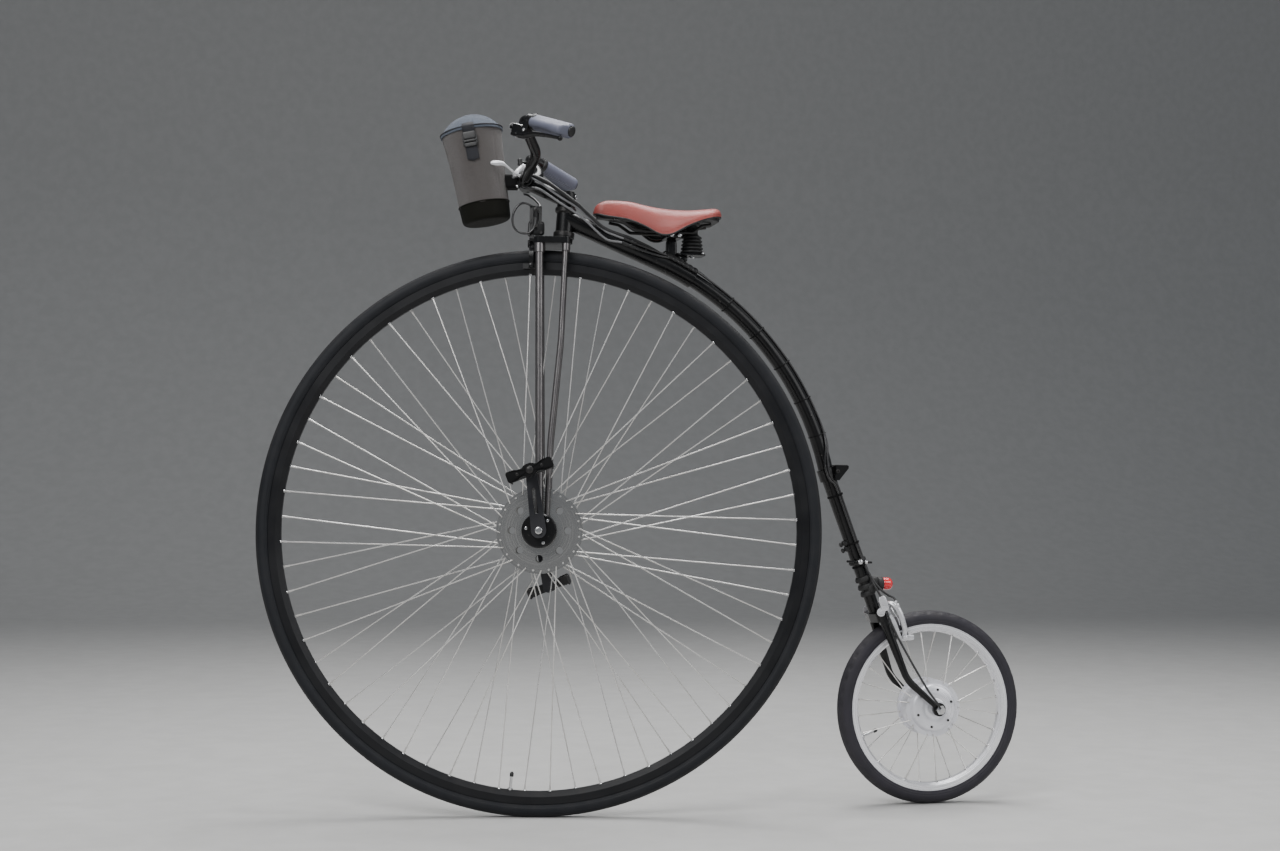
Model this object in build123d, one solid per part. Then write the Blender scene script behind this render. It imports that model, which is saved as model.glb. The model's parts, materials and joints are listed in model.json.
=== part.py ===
from build123d import *
import os
from math import acos, atan2, cos, degrees, hypot, radians, sin, sqrt

# Penny farthing bicycle, millimetres.
# X runs to the rear, Y to the bicycle's right, Z up.
# Everything is drawn from the ground point below the big wheel's hub.
# At the end it moves so that the origin is the rider's seat point.

# Big front wheel
FRONT_RADIUS = 609.5
FRONT_TYRE_WIDTH = 32.0
FRONT_TYRE_HEIGHT = 30.5
FRONT_RIM_DEPTH = 24.0
FRONT_RIM_SEAT = FRONT_RADIUS - FRONT_TYRE_HEIGHT
FRONT_RIM_INNER = FRONT_RIM_SEAT - FRONT_RIM_DEPTH
FRONT_RIM_WIDTH = 26.0
FRONT_RIM_LIP = 2.5
FRONT_RIM_LIP_WALL = 1.8
FRONT_RIM_NOSE = 10.0
FRONT_RIM_SHOULDER = 11.0

# Front hub with large drilled flanges
FLANGE_RADIUS = 92.0
FLANGE_THICKNESS = 5.0
FLANGE_CENTRE = 36.0
HUB_BARREL_RADIUS = 17.0
HUB_BOSS_RADIUS = 27.0
HUB_BOSS_END = 50.0
AXLE_RADIUS = 10.0
AXLE_END_RADIUS = 7.0
AXLE_PROUD = 2.0
LIGHTENING_HOLES = 8
LIGHTENING_RADIUS = 8.0
LIGHTENING_CIRCLE = 60.0

# Wire spokes of the front wheel
SPOKES_PER_FLANGE = 32
SPOKE_RADIUS = 1.3
SPOKE_HOLE_CIRCLE = 85.5
SPOKE_HOLE_RADIUS = 1.6
SPOKE_LEAD = 22.5
SPOKE_RIM_OFFSET = 4.0
SPOKE_ELBOW_GAP = 1.1
SPOKE_HEAD_RADIUS = 2.4
SPOKE_HEAD_THICKNESS = 1.4
NIPPLE_WIDTH = 3.8
NIPPLE_LENGTH = 13.0
NIPPLE_SEAT_GAP = 0.7

# Front bearings, cranks and pedals
HOUSING_RADIUS = 37.0
HOUSING_INNER = 56.0
HOUSING_THICKNESS = 20.0
HOUSING_EDGE = 3.0
RUNNING_GAP = 0.1
MOVING_GAP = 5.0
CRANK_LENGTH = 125.0
CRANK_THICKNESS = 16.0
CRANK_HUB_RADIUS = 16.0
CRANK_TIP_RADIUS = 12.0
CRANK_LEAN = 7.8
CRANK_SLOT_START = 35.0
CRANK_SLOT_END = 90.0
CRANK_SLOT_WIDTH = 8.0
PEDAL_AXLE_RADIUS = 6.0
PEDAL_AXLE_PROUD = 8.0
PEDAL_WIDTH = 88.0
PEDAL_LENGTH = 100.0
PEDAL_CAGE_HEIGHT = 18.0
PEDAL_BARREL_RADIUS = 11.0
PEDAL_RAIL = 9.0
PEDAL_CORNER = 8.0
PEDAL_WINDOW_CORNER = 3.0
PEDAL_TILT = 21.5

# Steering head: the axis leans back and passes through the front hub
RAKE = 4.0
REST_STEER = -12.0
CROWN_ABOVE_TYRE = 23.0
CROWN_TOP = 2 * FRONT_RADIUS + CROWN_ABOVE_TYRE
CROWN_THICKNESS = 14.0
CROWN_FRONT = -7.0
CROWN_REAR = 50.0
CROWN_HALF = 40.0
CROWN_FRONT_LUG = 12.0
CROWN_REAR_LUG = 9.0
STEERER_RADIUS = 14.2
HEAD_TUBE_RADIUS = 19.0
HEAD_CUP_RADIUS = 22.0
HEAD_CUP_HEIGHT = 8.0
CROWN_BOSS_START = -8.0
CROWN_BOSS_RADIUS = 20.0
CROWN_BOSS_HEIGHT = 14.0
HEAD_TUBE_START = 6.3
HEAD_TUBE_END = 70.0
SEAT_GAP = 0.3
STEM_CLAMP_HEIGHT = 32.0
STEM_CLAMP_RADIUS = 20.0
STEM_CAP_RADIUS = 16.2
STEM_CAP_HEIGHT = 4.0

# Fork: a main tube and a thinner stay on each side
FORK_TUBE_RADIUS = 8.5
FORK_STAY_RADIUS = 5.5
FORK_FOOT_HALF = 66.0
FORK_STAY_FOOT_X = 16.0
FORK_STAY_UPPER = (41.0, 208.0)
FORK_STAY_LOWER = (21.0, 159.5)
FORK_STAY_BEND = 250.0
FORK_SOCKET_WALL = 2.5
FORK_SOCKET_LENGTH = 20.0
FORK_COLLAR_LENGTH = 16.0
FORK_FOOT_SUNK = 6.0

# Handlebar, its route as steps from the clamp
BAR_RADIUS = 11.1
BAR_CLAMP_X = -38.0
BAR_RISE = 126.0
BAR_CLAMP = (BAR_CLAMP_X, 0.0, CROWN_TOP + BAR_RISE)
BAR_CLAMP_RADIUS = 19.0
BAR_CLAMP_HALF = 22.0
STEM_RADIUS = 15.0
BAR_STEPS = [(0.0, 0.0, 0.0), (0.0, 45.0, 0.0), (26.0, 106.0, 40.0), (-4.0, 182.0, 96.0),
             (102.0, 270.0, 50.0)]
BAR_BENDS = [22.0, 50.0, 22.0]
GRIP_LENGTH = 106.0
GRIP_RADIUS = 16.5
GRIP_WING_INNER = 14.0
GRIP_WING_OUTER = 34.0
GRIP_WING_DROP = 2.0
GRIP_WING_RADIUS = 6.0
GRIP_CAP = 5.0
GRIP_CAP_RADIUS = 15.0

# Brake levers, in the grip's own frame
PERCH_START = -16.0
PERCH_LENGTH = 14.0
PERCH_WALL = 4.0
PERCH_DROP = 30.0
PERCH_TOP = 14.0
PERCH_OUT = 9.0
PERCH_WIDTH = 14.0
PERCH_REACH = 30.0
PERCH_ROUND = 3.0
LEVER_RADIUS = 4.0
LEVER_BALL = 5.5
LEVER_STEPS = [(9.0, 0.0, -42.0), (13.0, 0.0, -4.0), (24.0, 7.0, 26.0), (28.0, 8.0, 62.0),
               (26.0, 9.0, 98.0)]
LEVER_BEND = 18.0

# Handlebar bag, a tapered round bucket with a lid
BAG_BEHIND_CLAMP = -84.0
BAG_BELOW_CLAMP = 91.0
BAG_BOTTOM = (BAR_CLAMP_X + BAG_BEHIND_CLAMP, 0.0, BAR_CLAMP[2] - BAG_BELOW_CLAMP)
BAG_LEAN = 10.5
BAG_HEIGHT = 204.0
BAG_BOTTOM_RADIUS = 52.0
BAG_TOP_RADIUS = 66.0
BAG_BASE_HEIGHT = 40.0
BAG_LID_HEIGHT = 38.0
BAG_LID_SKIRT = 7.0
BAG_LID_OVERHANG = 1.5
BAG_FOOT_ROUND = 6.0
BRACKET_BLOCK = (48.0, 36.0, 30.0)
BRACKET_ROUND = 6.0

# Backbone, one arc over the big wheel, its centre behind and below the hub
BACKBONE_REACH = 44.5
BACKBONE_RADIUS = FRONT_RADIUS + BACKBONE_REACH
BACKBONE_CENTRE = (14.0, FRONT_RADIUS - 12.0)
BACKBONE_TUBE = 16.5
FRONT_SECTION_TUBE = 20.0
STEP_ANGLE = 60.5
BACKBONE_END_ANGLE = 13.7
FRONT_SECTION_RISE = 47.9
LOWER_TUBE = 13.5

# Mounting step, a ring on the lower tube with a wedge behind it
STEP_RING_WALL = 4.0
STEP_RING_HEIGHT = 26.0
STEP_HALF = 26.0
STEP_WEDGE = [(16.5, 7.0), (46.0, 7.0), (46.0, 1.0), (24.0, -26.0), (14.0, -26.0)]

# Tail lamp, behind the lower tube
LAMP_UP = 69.3
LAMP_BEHIND = 32.0
LAMP_RADIUS = 15.0
LAMP_DEPTH = 13.0
LAMP_BRACKET = (24.0, 16.0, 20.0)
LENS_RADIUS = 12.0
LENS_BALL = 17.0
LENS_LENGTH = 20.0

# Rear wheel
WHEELBASE = 897.0
REAR_RADIUS = 217.0
REAR_TYRE_WIDTH = 38.0
REAR_TYRE_HEIGHT = 29.7
REAR_RIM_LIP = 6.3
REAR_RIM_DEPTH = 11.0
REAR_RIM_OUTER = REAR_RADIUS - REAR_TYRE_HEIGHT
REAR_RIM_SEAT = REAR_RIM_OUTER - REAR_RIM_LIP
REAR_RIM_INNER = REAR_RIM_SEAT - REAR_RIM_DEPTH
REAR_RIM_WIDTH = 30.0
REAR_RIM_NOSE = 12.0
REAR_TYRE_BEAD = 12.5
MOTOR_RADIUS = 58.0
MOTOR_STEP = 4.0
MOTOR_COVER_DROP = 10.0
MOTOR_BOSS_RADIUS = 26.0
MOTOR_FLANGE_RADIUS = 64.0
MOTOR_FLANGE_CENTRE = 26.0
MOTOR_FLANGE_THICKNESS = 4.0
MOTOR_HALF_WIDTH = 40.0
REAR_AXLE_RADIUS = 6.0
REAR_AXLE_END = 84.0
REAR_DROPOUT_HALF = 62.0
REAR_SPOKE_PAIRS = 7
REAR_SPOKE_CIRCLE = 60.6
REAR_SPOKE_SPREAD = 6.43
REAR_RIM_SPREAD = 12.857

# Rear fork; its crown stands above the tyre, on a line from the hub
REAR_CROWN_REACH = REAR_RADIUS + 33.73
REAR_CROWN_BEARING = 120.96
REAR_CROWN_HALF = 31.0
REAR_BLADE_RADII = (11.0, 8.0, 6.0)
REAR_BLADE_TOP = (2.9, REAR_CROWN_HALF, -9.6)
REAR_BLADE_KNEE = (2.4, 50.0, -160.8)
REAR_BLADE_FOOT = (-8.0, 62.0, 8.0)
REAR_BLADE_BEND = 75.0
REAR_CROWN_LUG = 13.0
REAR_CROWN_BOSS = 17.0
REAR_CROWN_HEIGHT = 20.0
DROPOUT_RADIUS = 15.0
DROPOUT_THICKNESS = 6.0
NUT_RADIUS = 11.0
NUT_HEIGHT = 9.0
SPACER_RADIUS = 9.0

# Rim brakes
CALIPER_DEPTH = 10.0
CALIPER_BOLT_RADIUS = 9.0
CALIPER_BOLT_HEAD = 4.0
FRONT_CALIPER_X = CROWN_FRONT - CROWN_FRONT_LUG
FRONT_ARCH_CENTRE = CROWN_TOP - 44.0
FRONT_ARCH_INNER = 30.0
FRONT_ARCH_OUTER = 41.0
FRONT_LEG_DROP = 24.0
FRONT_ARM_Y = 20.0
FRONT_ARM_Z = CROWN_TOP - 2.0
FRONT_ARM_RISE = 68.0
FRONT_ARM_FOOT = 16.0
FRONT_ARM_DEPTH = 16.0
FRONT_ARM_LEAN = -6.0
FRONT_ARM_RADII = (8.0, 6.0)
FRONT_PAD = (36.0, 10.0)
FRONT_PAD_RISE = 6.0
REAR_ARCH_INNER = 30.0
REAR_ARCH_OUTER = 39.0
REAR_CALIPER_FRONT = 17.0
REAR_BOLT_DROP = 10.0
REAR_PAD = (34.0, 9.0)
REAR_PAD_SHIFT = 9.0
REAR_BAND_RISE = 3.0
REAR_LEG_BELOW = 5.0

# Saddle; its heights count from the rails, and the rails' height from the backbone below the clamp
SADDLE_NOSE_X = 111.0
SADDLE_LENGTH = 286.0
SADDLE_NOSE_HALF = 21.0
SADDLE_NOSE_LENGTH = 60.0
SADDLE_TAIL_HALF = 76.0
SADDLE_TAIL_CORNER = 50.0
SADDLE_CROWN = 130.0
SADDLE_SKIN = 9.0
CLAMP_X = 289.0
RAIL_RISE = 77.13
RAIL_HALF = 21.0
RAIL_RADIUS = 3.5
RAIL_BEND = 12.0
RAIL_ENDS = (139.0, 83.0)
RAIL_KNEES = (117.0, 63.0)
RAIL_FLAT = (91.0, 41.0)
CLAMP_JAW = 16.0
CLAMP_POST = (34.0, 30.0)
CLAMP_JAW_LENGTH = 40.0
SHELF_BELOW_RAILS = 54.0
SHELF = (74.0, 50.0, 7.0)
SHELF_SHIFT = 38.0
SADDLE_BASE_RISE = 23.7
SADDLE_BASE_THICKNESS = 8.0
SADDLE_TOP_RISE = 67.0
SADDLE_SEAT_RISE = 56.0
SADDLE_SIDE = [(0, 38), (7, 55), (34, 65), (77, 66), (142, 56), (207, 56), (274, 62), (286, 52), (286, 39),
               (219, 18), (185, -4), (157, -6), (120, 10), (77, 23), (23, 28)]
SPRING_SHIFT = 45.5
SPRING_WIDE = 27.0
SPRING_NARROW = 22.0
SPRING_NECK = 14.0
SPRING_RIB = 5.0
SPRING_RIBS = 4

# Cables
CABLE_RADIUS = 2.5
FRONT_CABLE_BEND = 9.0
REAR_CABLE_ENDS = (1.0, 6.0)
FRONT_CABLE_STEPS = [(-4.0, -13.0), (-8.0, -46.0), (-22.0, -72.0), (-24.0, -100.0), (-10.0, -120.0),
                     (6.0, -116.0)]

BASE = (Align.CENTER, Align.CENTER, Align.MIN)
FRONT_HUB = (0.0, 0.0, FRONT_RADIUS)
REAR_HUB = (WHEELBASE, 0.0, REAR_RADIUS)
LOWER_TUBE_END = (WHEELBASE + REAR_CROWN_REACH * cos(radians(REAR_CROWN_BEARING)), 0.0,
                  REAR_RADIUS + REAR_CROWN_REACH * sin(radians(REAR_CROWN_BEARING)))
BAR_ROUTE = [(BAR_CLAMP[0] + dx, dy, BAR_CLAMP[2] + dz) for dx, dy, dz in BAR_STEPS]
RAIL_Z = BACKBONE_CENTRE[1] + sqrt(BACKBONE_RADIUS ** 2 - (CLAMP_X - BACKBONE_CENTRE[0]) ** 2) + RAIL_RISE
SADDLE_TAIL_X = SADDLE_NOSE_X + SADDLE_LENGTH
SADDLE_BASE_Z = RAIL_Z + SADDLE_BASE_RISE
SADDLE_TOP_Z = RAIL_Z + SADDLE_TOP_RISE
SHELF_Z = RAIL_Z - SHELF_BELOW_RAILS
RIDER = (300.0, 0.0, RAIL_Z + SADDLE_SEAT_RISE)
STEER_AXIS = Axis(FRONT_HUB, (sin(radians(RAKE)), 0.0, cos(radians(RAKE))))
CRANK_INNER = HOUSING_INNER + HOUSING_THICKNESS + MOVING_GAP
CRANK_OUTER = CRANK_INNER + CRANK_THICKNESS


# Small tools

def rod(start, end, radius, end_radius=None):
    """A round bar, or a taper, from one point to another."""
    line = Vector(*end) - Vector(*start)
    plane = Plane(origin=start, z_dir=line)
    if end_radius is None:
        return plane * Cylinder(radius, line.length, align=BASE)
    return plane * Cone(radius, end_radius, line.length, align=BASE)


def wheel_plane(hub):
    """A frame on a wheel's axle: local Z is across the bicycle, local X to the rear."""
    return Plane(origin=hub, x_dir=(1, 0, 0), z_dir=(0, 1, 0))


def turned(half_outline):
    """A turned piece from half its outline, (radius, across) from the middle outwards."""
    other = [(radius, -across) for radius, across in reversed(half_outline)]
    outline = [*other, *half_outline]
    clean = [outline[0]]
    for point in outline[1:]:
        if hypot(point[0] - clean[-1][0], point[1] - clean[-1][1]) > 1e-6:
            clean.append(point)
    return revolve(Plane.XZ * make_face(Polyline(*clean, close=True)), axis=Axis.Z)


def steered(shape):
    """Turn a piece of the steering from straight ahead to its place at rest."""
    return shape.rotate(STEER_AXIS, REST_STEER)


def both_sides(shape):
    """A piece and its mirror image on the other side."""
    return Compound(children=[shape, mirror(shape, about=Plane.XZ)])


def head_point(height):
    """A point of the steering axis, by its height along the axis above the crown's top."""
    foot = CROWN_TOP - FRONT_RADIUS
    rake = radians(RAKE)
    x = foot * sin(rake) / cos(rake) + height * sin(rake)
    return (x, 0.0, CROWN_TOP + height * cos(rake))


def head_plane(height):
    return Plane(origin=head_point(height), x_dir=(cos(radians(RAKE)), 0, -sin(radians(RAKE))),
                 z_dir=(sin(radians(RAKE)), 0, cos(radians(RAKE))))


# Wheels

def tyre(radius, width, seat, bead_half, rim_edge):
    """A round tyre whose bead sits in the rim."""
    half = width / 2
    crown = Pos(radius - half, 0) * Circle(half)
    above = Pos(rim_edge + width, 0) * Rectangle(2 * width, 2 * width)
    bead = Pos((seat + rim_edge) / 2 + 1, 0) * Rectangle(rim_edge - seat + 2, 2 * bead_half)
    section = (crown & above) + bead
    return revolve(Plane.XZ * section, axis=Axis.Z)


def front_rim():
    """A deep rim, a shallow well with two lips and a nose towards the hub."""
    half = FRONT_RIM_WIDTH / 2
    return turned([(FRONT_RIM_SEAT, 0), (FRONT_RIM_SEAT, half - FRONT_RIM_LIP_WALL),
                   (FRONT_RIM_SEAT + FRONT_RIM_LIP, half - FRONT_RIM_LIP_WALL),
                   (FRONT_RIM_SEAT + FRONT_RIM_LIP, half),
                   (FRONT_RIM_INNER + FRONT_RIM_SHOULDER, half),
                   (FRONT_RIM_INNER, FRONT_RIM_NOSE / 2), (FRONT_RIM_INNER, 0)])


def rear_rim():
    half = REAR_RIM_WIDTH / 2
    lip = half - FRONT_RIM_LIP_WALL
    return turned([(REAR_RIM_SEAT, 0), (REAR_RIM_SEAT, lip), (REAR_RIM_OUTER, lip),
                   (REAR_RIM_OUTER, half), (REAR_RIM_INNER + REAR_RIM_NOSE / 2, half),
                   (REAR_RIM_INNER, REAR_RIM_NOSE / 2), (REAR_RIM_INNER, 0)])


def front_hub():
    """The barrel, its two drilled flanges and the axle's stepped ends."""
    inner = FLANGE_CENTRE - FLANGE_THICKNESS / 2
    outer = FLANGE_CENTRE + FLANGE_THICKNESS / 2
    waist = HUB_BOSS_RADIUS - HUB_BARREL_RADIUS
    hub = turned([(HUB_BARREL_RADIUS, 0), (HUB_BARREL_RADIUS, inner - waist),
                  (HUB_BOSS_RADIUS, inner), (FLANGE_RADIUS, inner), (FLANGE_RADIUS, outer),
                  (HUB_BOSS_RADIUS, outer), (HUB_BOSS_RADIUS, HUB_BOSS_END),
                  (AXLE_RADIUS, HUB_BOSS_END), (AXLE_RADIUS, CRANK_INNER - SEAT_GAP),
                  (AXLE_END_RADIUS, CRANK_INNER - SEAT_GAP), (AXLE_END_RADIUS, CRANK_OUTER + AXLE_PROUD),
                  (0, CRANK_OUTER + AXLE_PROUD)])
    pitch = 360 / SPOKES_PER_FLANGE
    tall = 2 * HUB_BOSS_END
    drills = [PolarLocations(LIGHTENING_CIRCLE, LIGHTENING_HOLES) * Cylinder(LIGHTENING_RADIUS, tall)]
    for side in (-1, 1):
        start = side * pitch / 4
        drill = Pos(0, 0, side * FLANGE_CENTRE) * Cylinder(SPOKE_HOLE_RADIUS, 2 * FLANGE_THICKNESS)
        drills.append(PolarLocations(SPOKE_HOLE_CIRCLE, SPOKES_PER_FLANGE, start_angle=start) * drill)
    for drill in drills:
        hub = hub - drill
    return hub


def bar_between(start, end, width, sides):
    """A straight wire or nipple with flats, from one point to another."""
    line = Vector(*end) - Vector(*start)
    section = Plane(origin=start, z_dir=line) * RegularPolygon(width / 2, sides)
    return extrude(section, amount=line.length, dir=line)


def wire_spoke(hole_circle, hole_angle, rim_radius, rim_angle, flange, rim_offset, outside, head):
    """One bent spoke: a head, an elbow through the flange, a shank and a nipple at the rim.

    flange is the (inner, outer) face of the flange along the axle.
    """
    near, far = (flange[0], flange[1]) if outside else (flange[1], flange[0])
    way = 1 if far > near else -1
    a, b = radians(hole_angle), radians(rim_angle)
    hole = (hole_circle * cos(a), hole_circle * sin(a))
    elbow = Vector(*hole, far + way * (SPOKE_RADIUS + SPOKE_ELBOW_GAP))
    seat = Vector(rim_radius * cos(b), rim_radius * sin(b), rim_offset)
    line = (seat - elbow).normalized()
    nipple = seat - line * NIPPLE_LENGTH
    spoke = bar_between(elbow - line * SPOKE_RADIUS, nipple + line, 2 * SPOKE_RADIUS, 6)
    spoke += bar_between(nipple, seat, NIPPLE_WIDTH, 6)
    stub = Vector(*hole, near - way * head)
    spoke += bar_between(stub, elbow, 2 * SPOKE_RADIUS, 6)
    if head:
        button = Vector(*hole, near)
        spoke += bar_between(stub, button, 2 * SPOKE_HEAD_RADIUS, 6)
    return spoke


def front_spokes():
    """Sixty-four tangent spokes, leading ones outside the flange, trailing ones inside."""
    pitch = 360 / SPOKES_PER_FLANGE
    inner = FLANGE_CENTRE - FLANGE_THICKNESS / 2
    outer = FLANGE_CENTRE + FLANGE_THICKNESS / 2
    wires = []
    for side in (-1, 1):
        start = side * pitch / 4
        for outside in (True, False):
            hole = start if outside else start + pitch
            lead = SPOKE_LEAD if outside else -SPOKE_LEAD
            wire = wire_spoke(SPOKE_HOLE_CIRCLE, hole, FRONT_RIM_INNER - NIPPLE_SEAT_GAP, hole + lead,
                              (side * inner, side * outer), side * SPOKE_RIM_OFFSET, outside,
                              SPOKE_HEAD_THICKNESS)
            wires += [Rot(0, 0, 2 * pitch * turn) * wire for turn in range(SPOKES_PER_FLANGE // 2)]
    return Compound(children=wires)


def rear_spokes():
    """Fourteen spokes a side in pairs that spread from the motor's flanges."""
    inner = MOTOR_FLANGE_CENTRE - MOTOR_FLANGE_THICKNESS / 2
    outer = MOTOR_FLANGE_CENTRE + MOTOR_FLANGE_THICKNESS / 2
    wires = []
    for side in (-1, 1):
        centre = side * REAR_RIM_SPREAD / 2
        for way in (-1, 1):
            wire = wire_spoke(REAR_SPOKE_CIRCLE, centre + way * REAR_SPOKE_SPREAD,
                              REAR_RIM_INNER - NIPPLE_SEAT_GAP, centre + way * REAR_RIM_SPREAD,
                              (side * inner, side * outer), side * SPOKE_RIM_OFFSET, True, 0.5)
            wires += [Rot(0, 0, 360 / REAR_SPOKE_PAIRS * turn) * wire
                      for turn in range(REAR_SPOKE_PAIRS)]
    return Compound(children=wires)


def motor_shell():
    """The hub motor's round shell with its two spoke flanges and stepped covers."""
    inner = MOTOR_FLANGE_CENTRE - MOTOR_FLANGE_THICKNESS / 2
    outer = MOTOR_FLANGE_CENTRE + MOTOR_FLANGE_THICKNESS / 2
    bore = REAR_AXLE_RADIUS + RUNNING_GAP
    shell = turned([(MOTOR_RADIUS, 0), (MOTOR_RADIUS, inner), (MOTOR_FLANGE_RADIUS, inner),
                    (MOTOR_FLANGE_RADIUS, outer), (MOTOR_RADIUS - MOTOR_STEP, outer),
                    (MOTOR_RADIUS - MOTOR_COVER_DROP, MOTOR_HALF_WIDTH - MOTOR_STEP),
                    (MOTOR_BOSS_RADIUS, MOTOR_HALF_WIDTH),
                    (bore, MOTOR_HALF_WIDTH), (bore, 0)])
    for side in (-1, 1):
        for way in (-1, 1):
            drill = Pos(0, 0, side * MOTOR_FLANGE_CENTRE) * Cylinder(SPOKE_HOLE_RADIUS, 2 * MOTOR_FLANGE_THICKNESS)
            start = side * REAR_RIM_SPREAD / 2 + way * REAR_SPOKE_SPREAD
            shell = shell - PolarLocations(REAR_SPOKE_CIRCLE, REAR_SPOKE_PAIRS, start_angle=start) * drill
    return shell


# Cranks and pedals, drawn for the right side straight down

def crank():
    """A tapered arm with a long slot, clamped on the axle's end."""
    arm = make_hull((Circle(CRANK_HUB_RADIUS) + Pos(CRANK_LENGTH, 0) * Circle(CRANK_TIP_RADIUS)).edges())
    slot_length = CRANK_SLOT_END - CRANK_SLOT_START
    slot = Pos((CRANK_SLOT_START + CRANK_SLOT_END) / 2, 0) * SlotOverall(slot_length, CRANK_SLOT_WIDTH)
    bore = Circle(AXLE_END_RADIUS + RUNNING_GAP)
    body = Pos(0, 0, CRANK_INNER) * extrude(arm - slot - bore, amount=CRANK_THICKNESS)
    end = CRANK_OUTER + PEDAL_AXLE_PROUD + PEDAL_WIDTH
    axle = rod((CRANK_LENGTH, 0, CRANK_OUTER), (CRANK_LENGTH, 0, end), PEDAL_AXLE_RADIUS)
    return body + axle


def pedal():
    """A flat cage around a barrel, its axle across the bicycle at the origin."""
    inner = CRANK_OUTER + MOVING_GAP
    cage = RectangleRounded(PEDAL_LENGTH, PEDAL_WIDTH, PEDAL_CORNER)
    window = RectangleRounded(PEDAL_LENGTH / 2 - PEDAL_BARREL_RADIUS - PEDAL_RAIL,
                              PEDAL_WIDTH - 2 * PEDAL_RAIL, PEDAL_WINDOW_CORNER)
    shift = (PEDAL_LENGTH / 2 + PEDAL_BARREL_RADIUS - PEDAL_RAIL) / 2
    frame = cage - Pos(shift, 0) * window - Pos(-shift, 0) * window
    body = extrude(frame, amount=PEDAL_CAGE_HEIGHT / 2, both=True)
    barrel = Rot(90, 0, 0) * Cylinder(PEDAL_BARREL_RADIUS, PEDAL_WIDTH)
    bore = Rot(90, 0, 0) * Cylinder(PEDAL_AXLE_RADIUS + RUNNING_GAP, 2 * PEDAL_WIDTH)
    return Pos(0, inner + PEDAL_WIDTH / 2, 0) * ((body + barrel) - bore)


def crank_angle(side):
    """The crank's direction in the wheel's plane: the left one points up and forward."""
    up = -90 - CRANK_LEAN
    return up if side < 0 else up + 180


def crank_on(side):
    """The right or left crank in its place; the left one is turned over."""
    arm = Rot(0, 0, side * crank_angle(side)) * crank()
    if side < 0:
        arm = Rot(180, 0, 0) * arm
    return wheel_plane(FRONT_HUB) * arm


def pedal_centre(side):
    a = radians(crank_angle(side))
    return (CRANK_LENGTH * cos(a), 0.0, FRONT_RADIUS - CRANK_LENGTH * sin(a))


def pedal_on(side):
    body = Rot(0, -PEDAL_TILT, 0) * pedal()
    if side < 0:
        body = mirror(body, about=Plane.XZ)
    x, y, z = pedal_centre(side)
    return Pos(x, y, z) * body


# Fork and steering head

def fork_side():
    """The main tube and the bent stay of the right side."""
    foot = FRONT_RADIUS + HOUSING_RADIUS - FORK_FOOT_SUNK
    slope = (FORK_FOOT_HALF - CROWN_HALF) / (CROWN_TOP - CROWN_THICKNESS - foot)
    top = CROWN_TOP - CROWN_THICKNESS

    def across(z):
        return CROWN_HALF + (top - z) * slope

    main = rod((0, FORK_FOOT_HALF, foot), (CROWN_FRONT, CROWN_HALF, top), FORK_TUBE_RADIUS)
    low = top - FORK_SOCKET_LENGTH
    socket = rod((CROWN_FRONT, CROWN_HALF, top), (CROWN_FRONT, across(low), low),
                 FORK_TUBE_RADIUS + FORK_SOCKET_WALL)
    upper_x, drop = FORK_STAY_UPPER
    lower_x, rise = FORK_STAY_LOWER
    points = [(CROWN_REAR, CROWN_HALF, top), (upper_x, across(top - drop), top - drop),
              (lower_x, across(foot + rise), foot + rise), (FORK_STAY_FOOT_X, FORK_FOOT_HALF, foot)]
    path = FilletPolyline(*points, radius=FORK_STAY_BEND)
    stay = sweep(Plane(origin=path @ 0, z_dir=path % 0) * Circle(FORK_STAY_RADIUS), path=path)
    low = top - FORK_COLLAR_LENGTH
    collar = rod(points[0], (CROWN_REAR, across(low), low), FORK_STAY_RADIUS + FORK_SOCKET_WALL)
    fork = main + socket + stay + collar
    return fork - housing_body(0.0) - fork_crown()


def housing_body(bore):
    """The right bearing housing, a stepped disc on the axle."""
    plane = wheel_plane((0, HOUSING_INNER, FRONT_RADIUS))
    body = plane * Cylinder(HOUSING_RADIUS, HOUSING_THICKNESS, align=BASE)
    body = chamfer(body.edges().filter_by(GeomType.CIRCLE), HOUSING_EDGE)
    if bore:
        body = body - plane * Cylinder(bore, 3 * HOUSING_THICKNESS)
    return body


def fork_crown():
    """The flat crown with its four sockets, the steerer and its bearing boss."""
    lugs = Sketch()
    for way in (-1, 1):
        lugs += Pos(CROWN_FRONT, way * CROWN_HALF) * Circle(CROWN_FRONT_LUG)
        lugs += Pos(CROWN_REAR, way * CROWN_HALF) * Circle(CROWN_REAR_LUG)
    outline = make_hull(lugs.edges())
    plate = Pos(0, 0, CROWN_TOP - CROWN_THICKNESS) * extrude(outline, amount=CROWN_THICKNESS)
    boss = head_plane(CROWN_BOSS_START) * Cylinder(CROWN_BOSS_RADIUS, CROWN_BOSS_HEIGHT, align=BASE)
    steerer = head_plane(0) * Cylinder(STEERER_RADIUS, HEAD_TUBE_END + SEAT_GAP + STEM_CLAMP_HEIGHT,
                                       align=BASE)
    return plate + boss + steerer


def head_tube():
    bore = STEERER_RADIUS + RUNNING_GAP
    height = HEAD_TUBE_END - HEAD_TUBE_START
    tube = head_plane(HEAD_TUBE_START) * Cylinder(HEAD_TUBE_RADIUS, height, align=BASE)
    tube += head_plane(HEAD_TUBE_START) * Cylinder(HEAD_CUP_RADIUS, HEAD_CUP_HEIGHT, align=BASE)
    tube += head_plane(HEAD_TUBE_END - HEAD_CUP_HEIGHT) * Cylinder(HEAD_CUP_RADIUS, HEAD_CUP_HEIGHT,
                                                                   align=BASE)
    return tube - head_plane(0) * Cylinder(bore, 2 * HEAD_TUBE_END, align=BASE)


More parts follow.
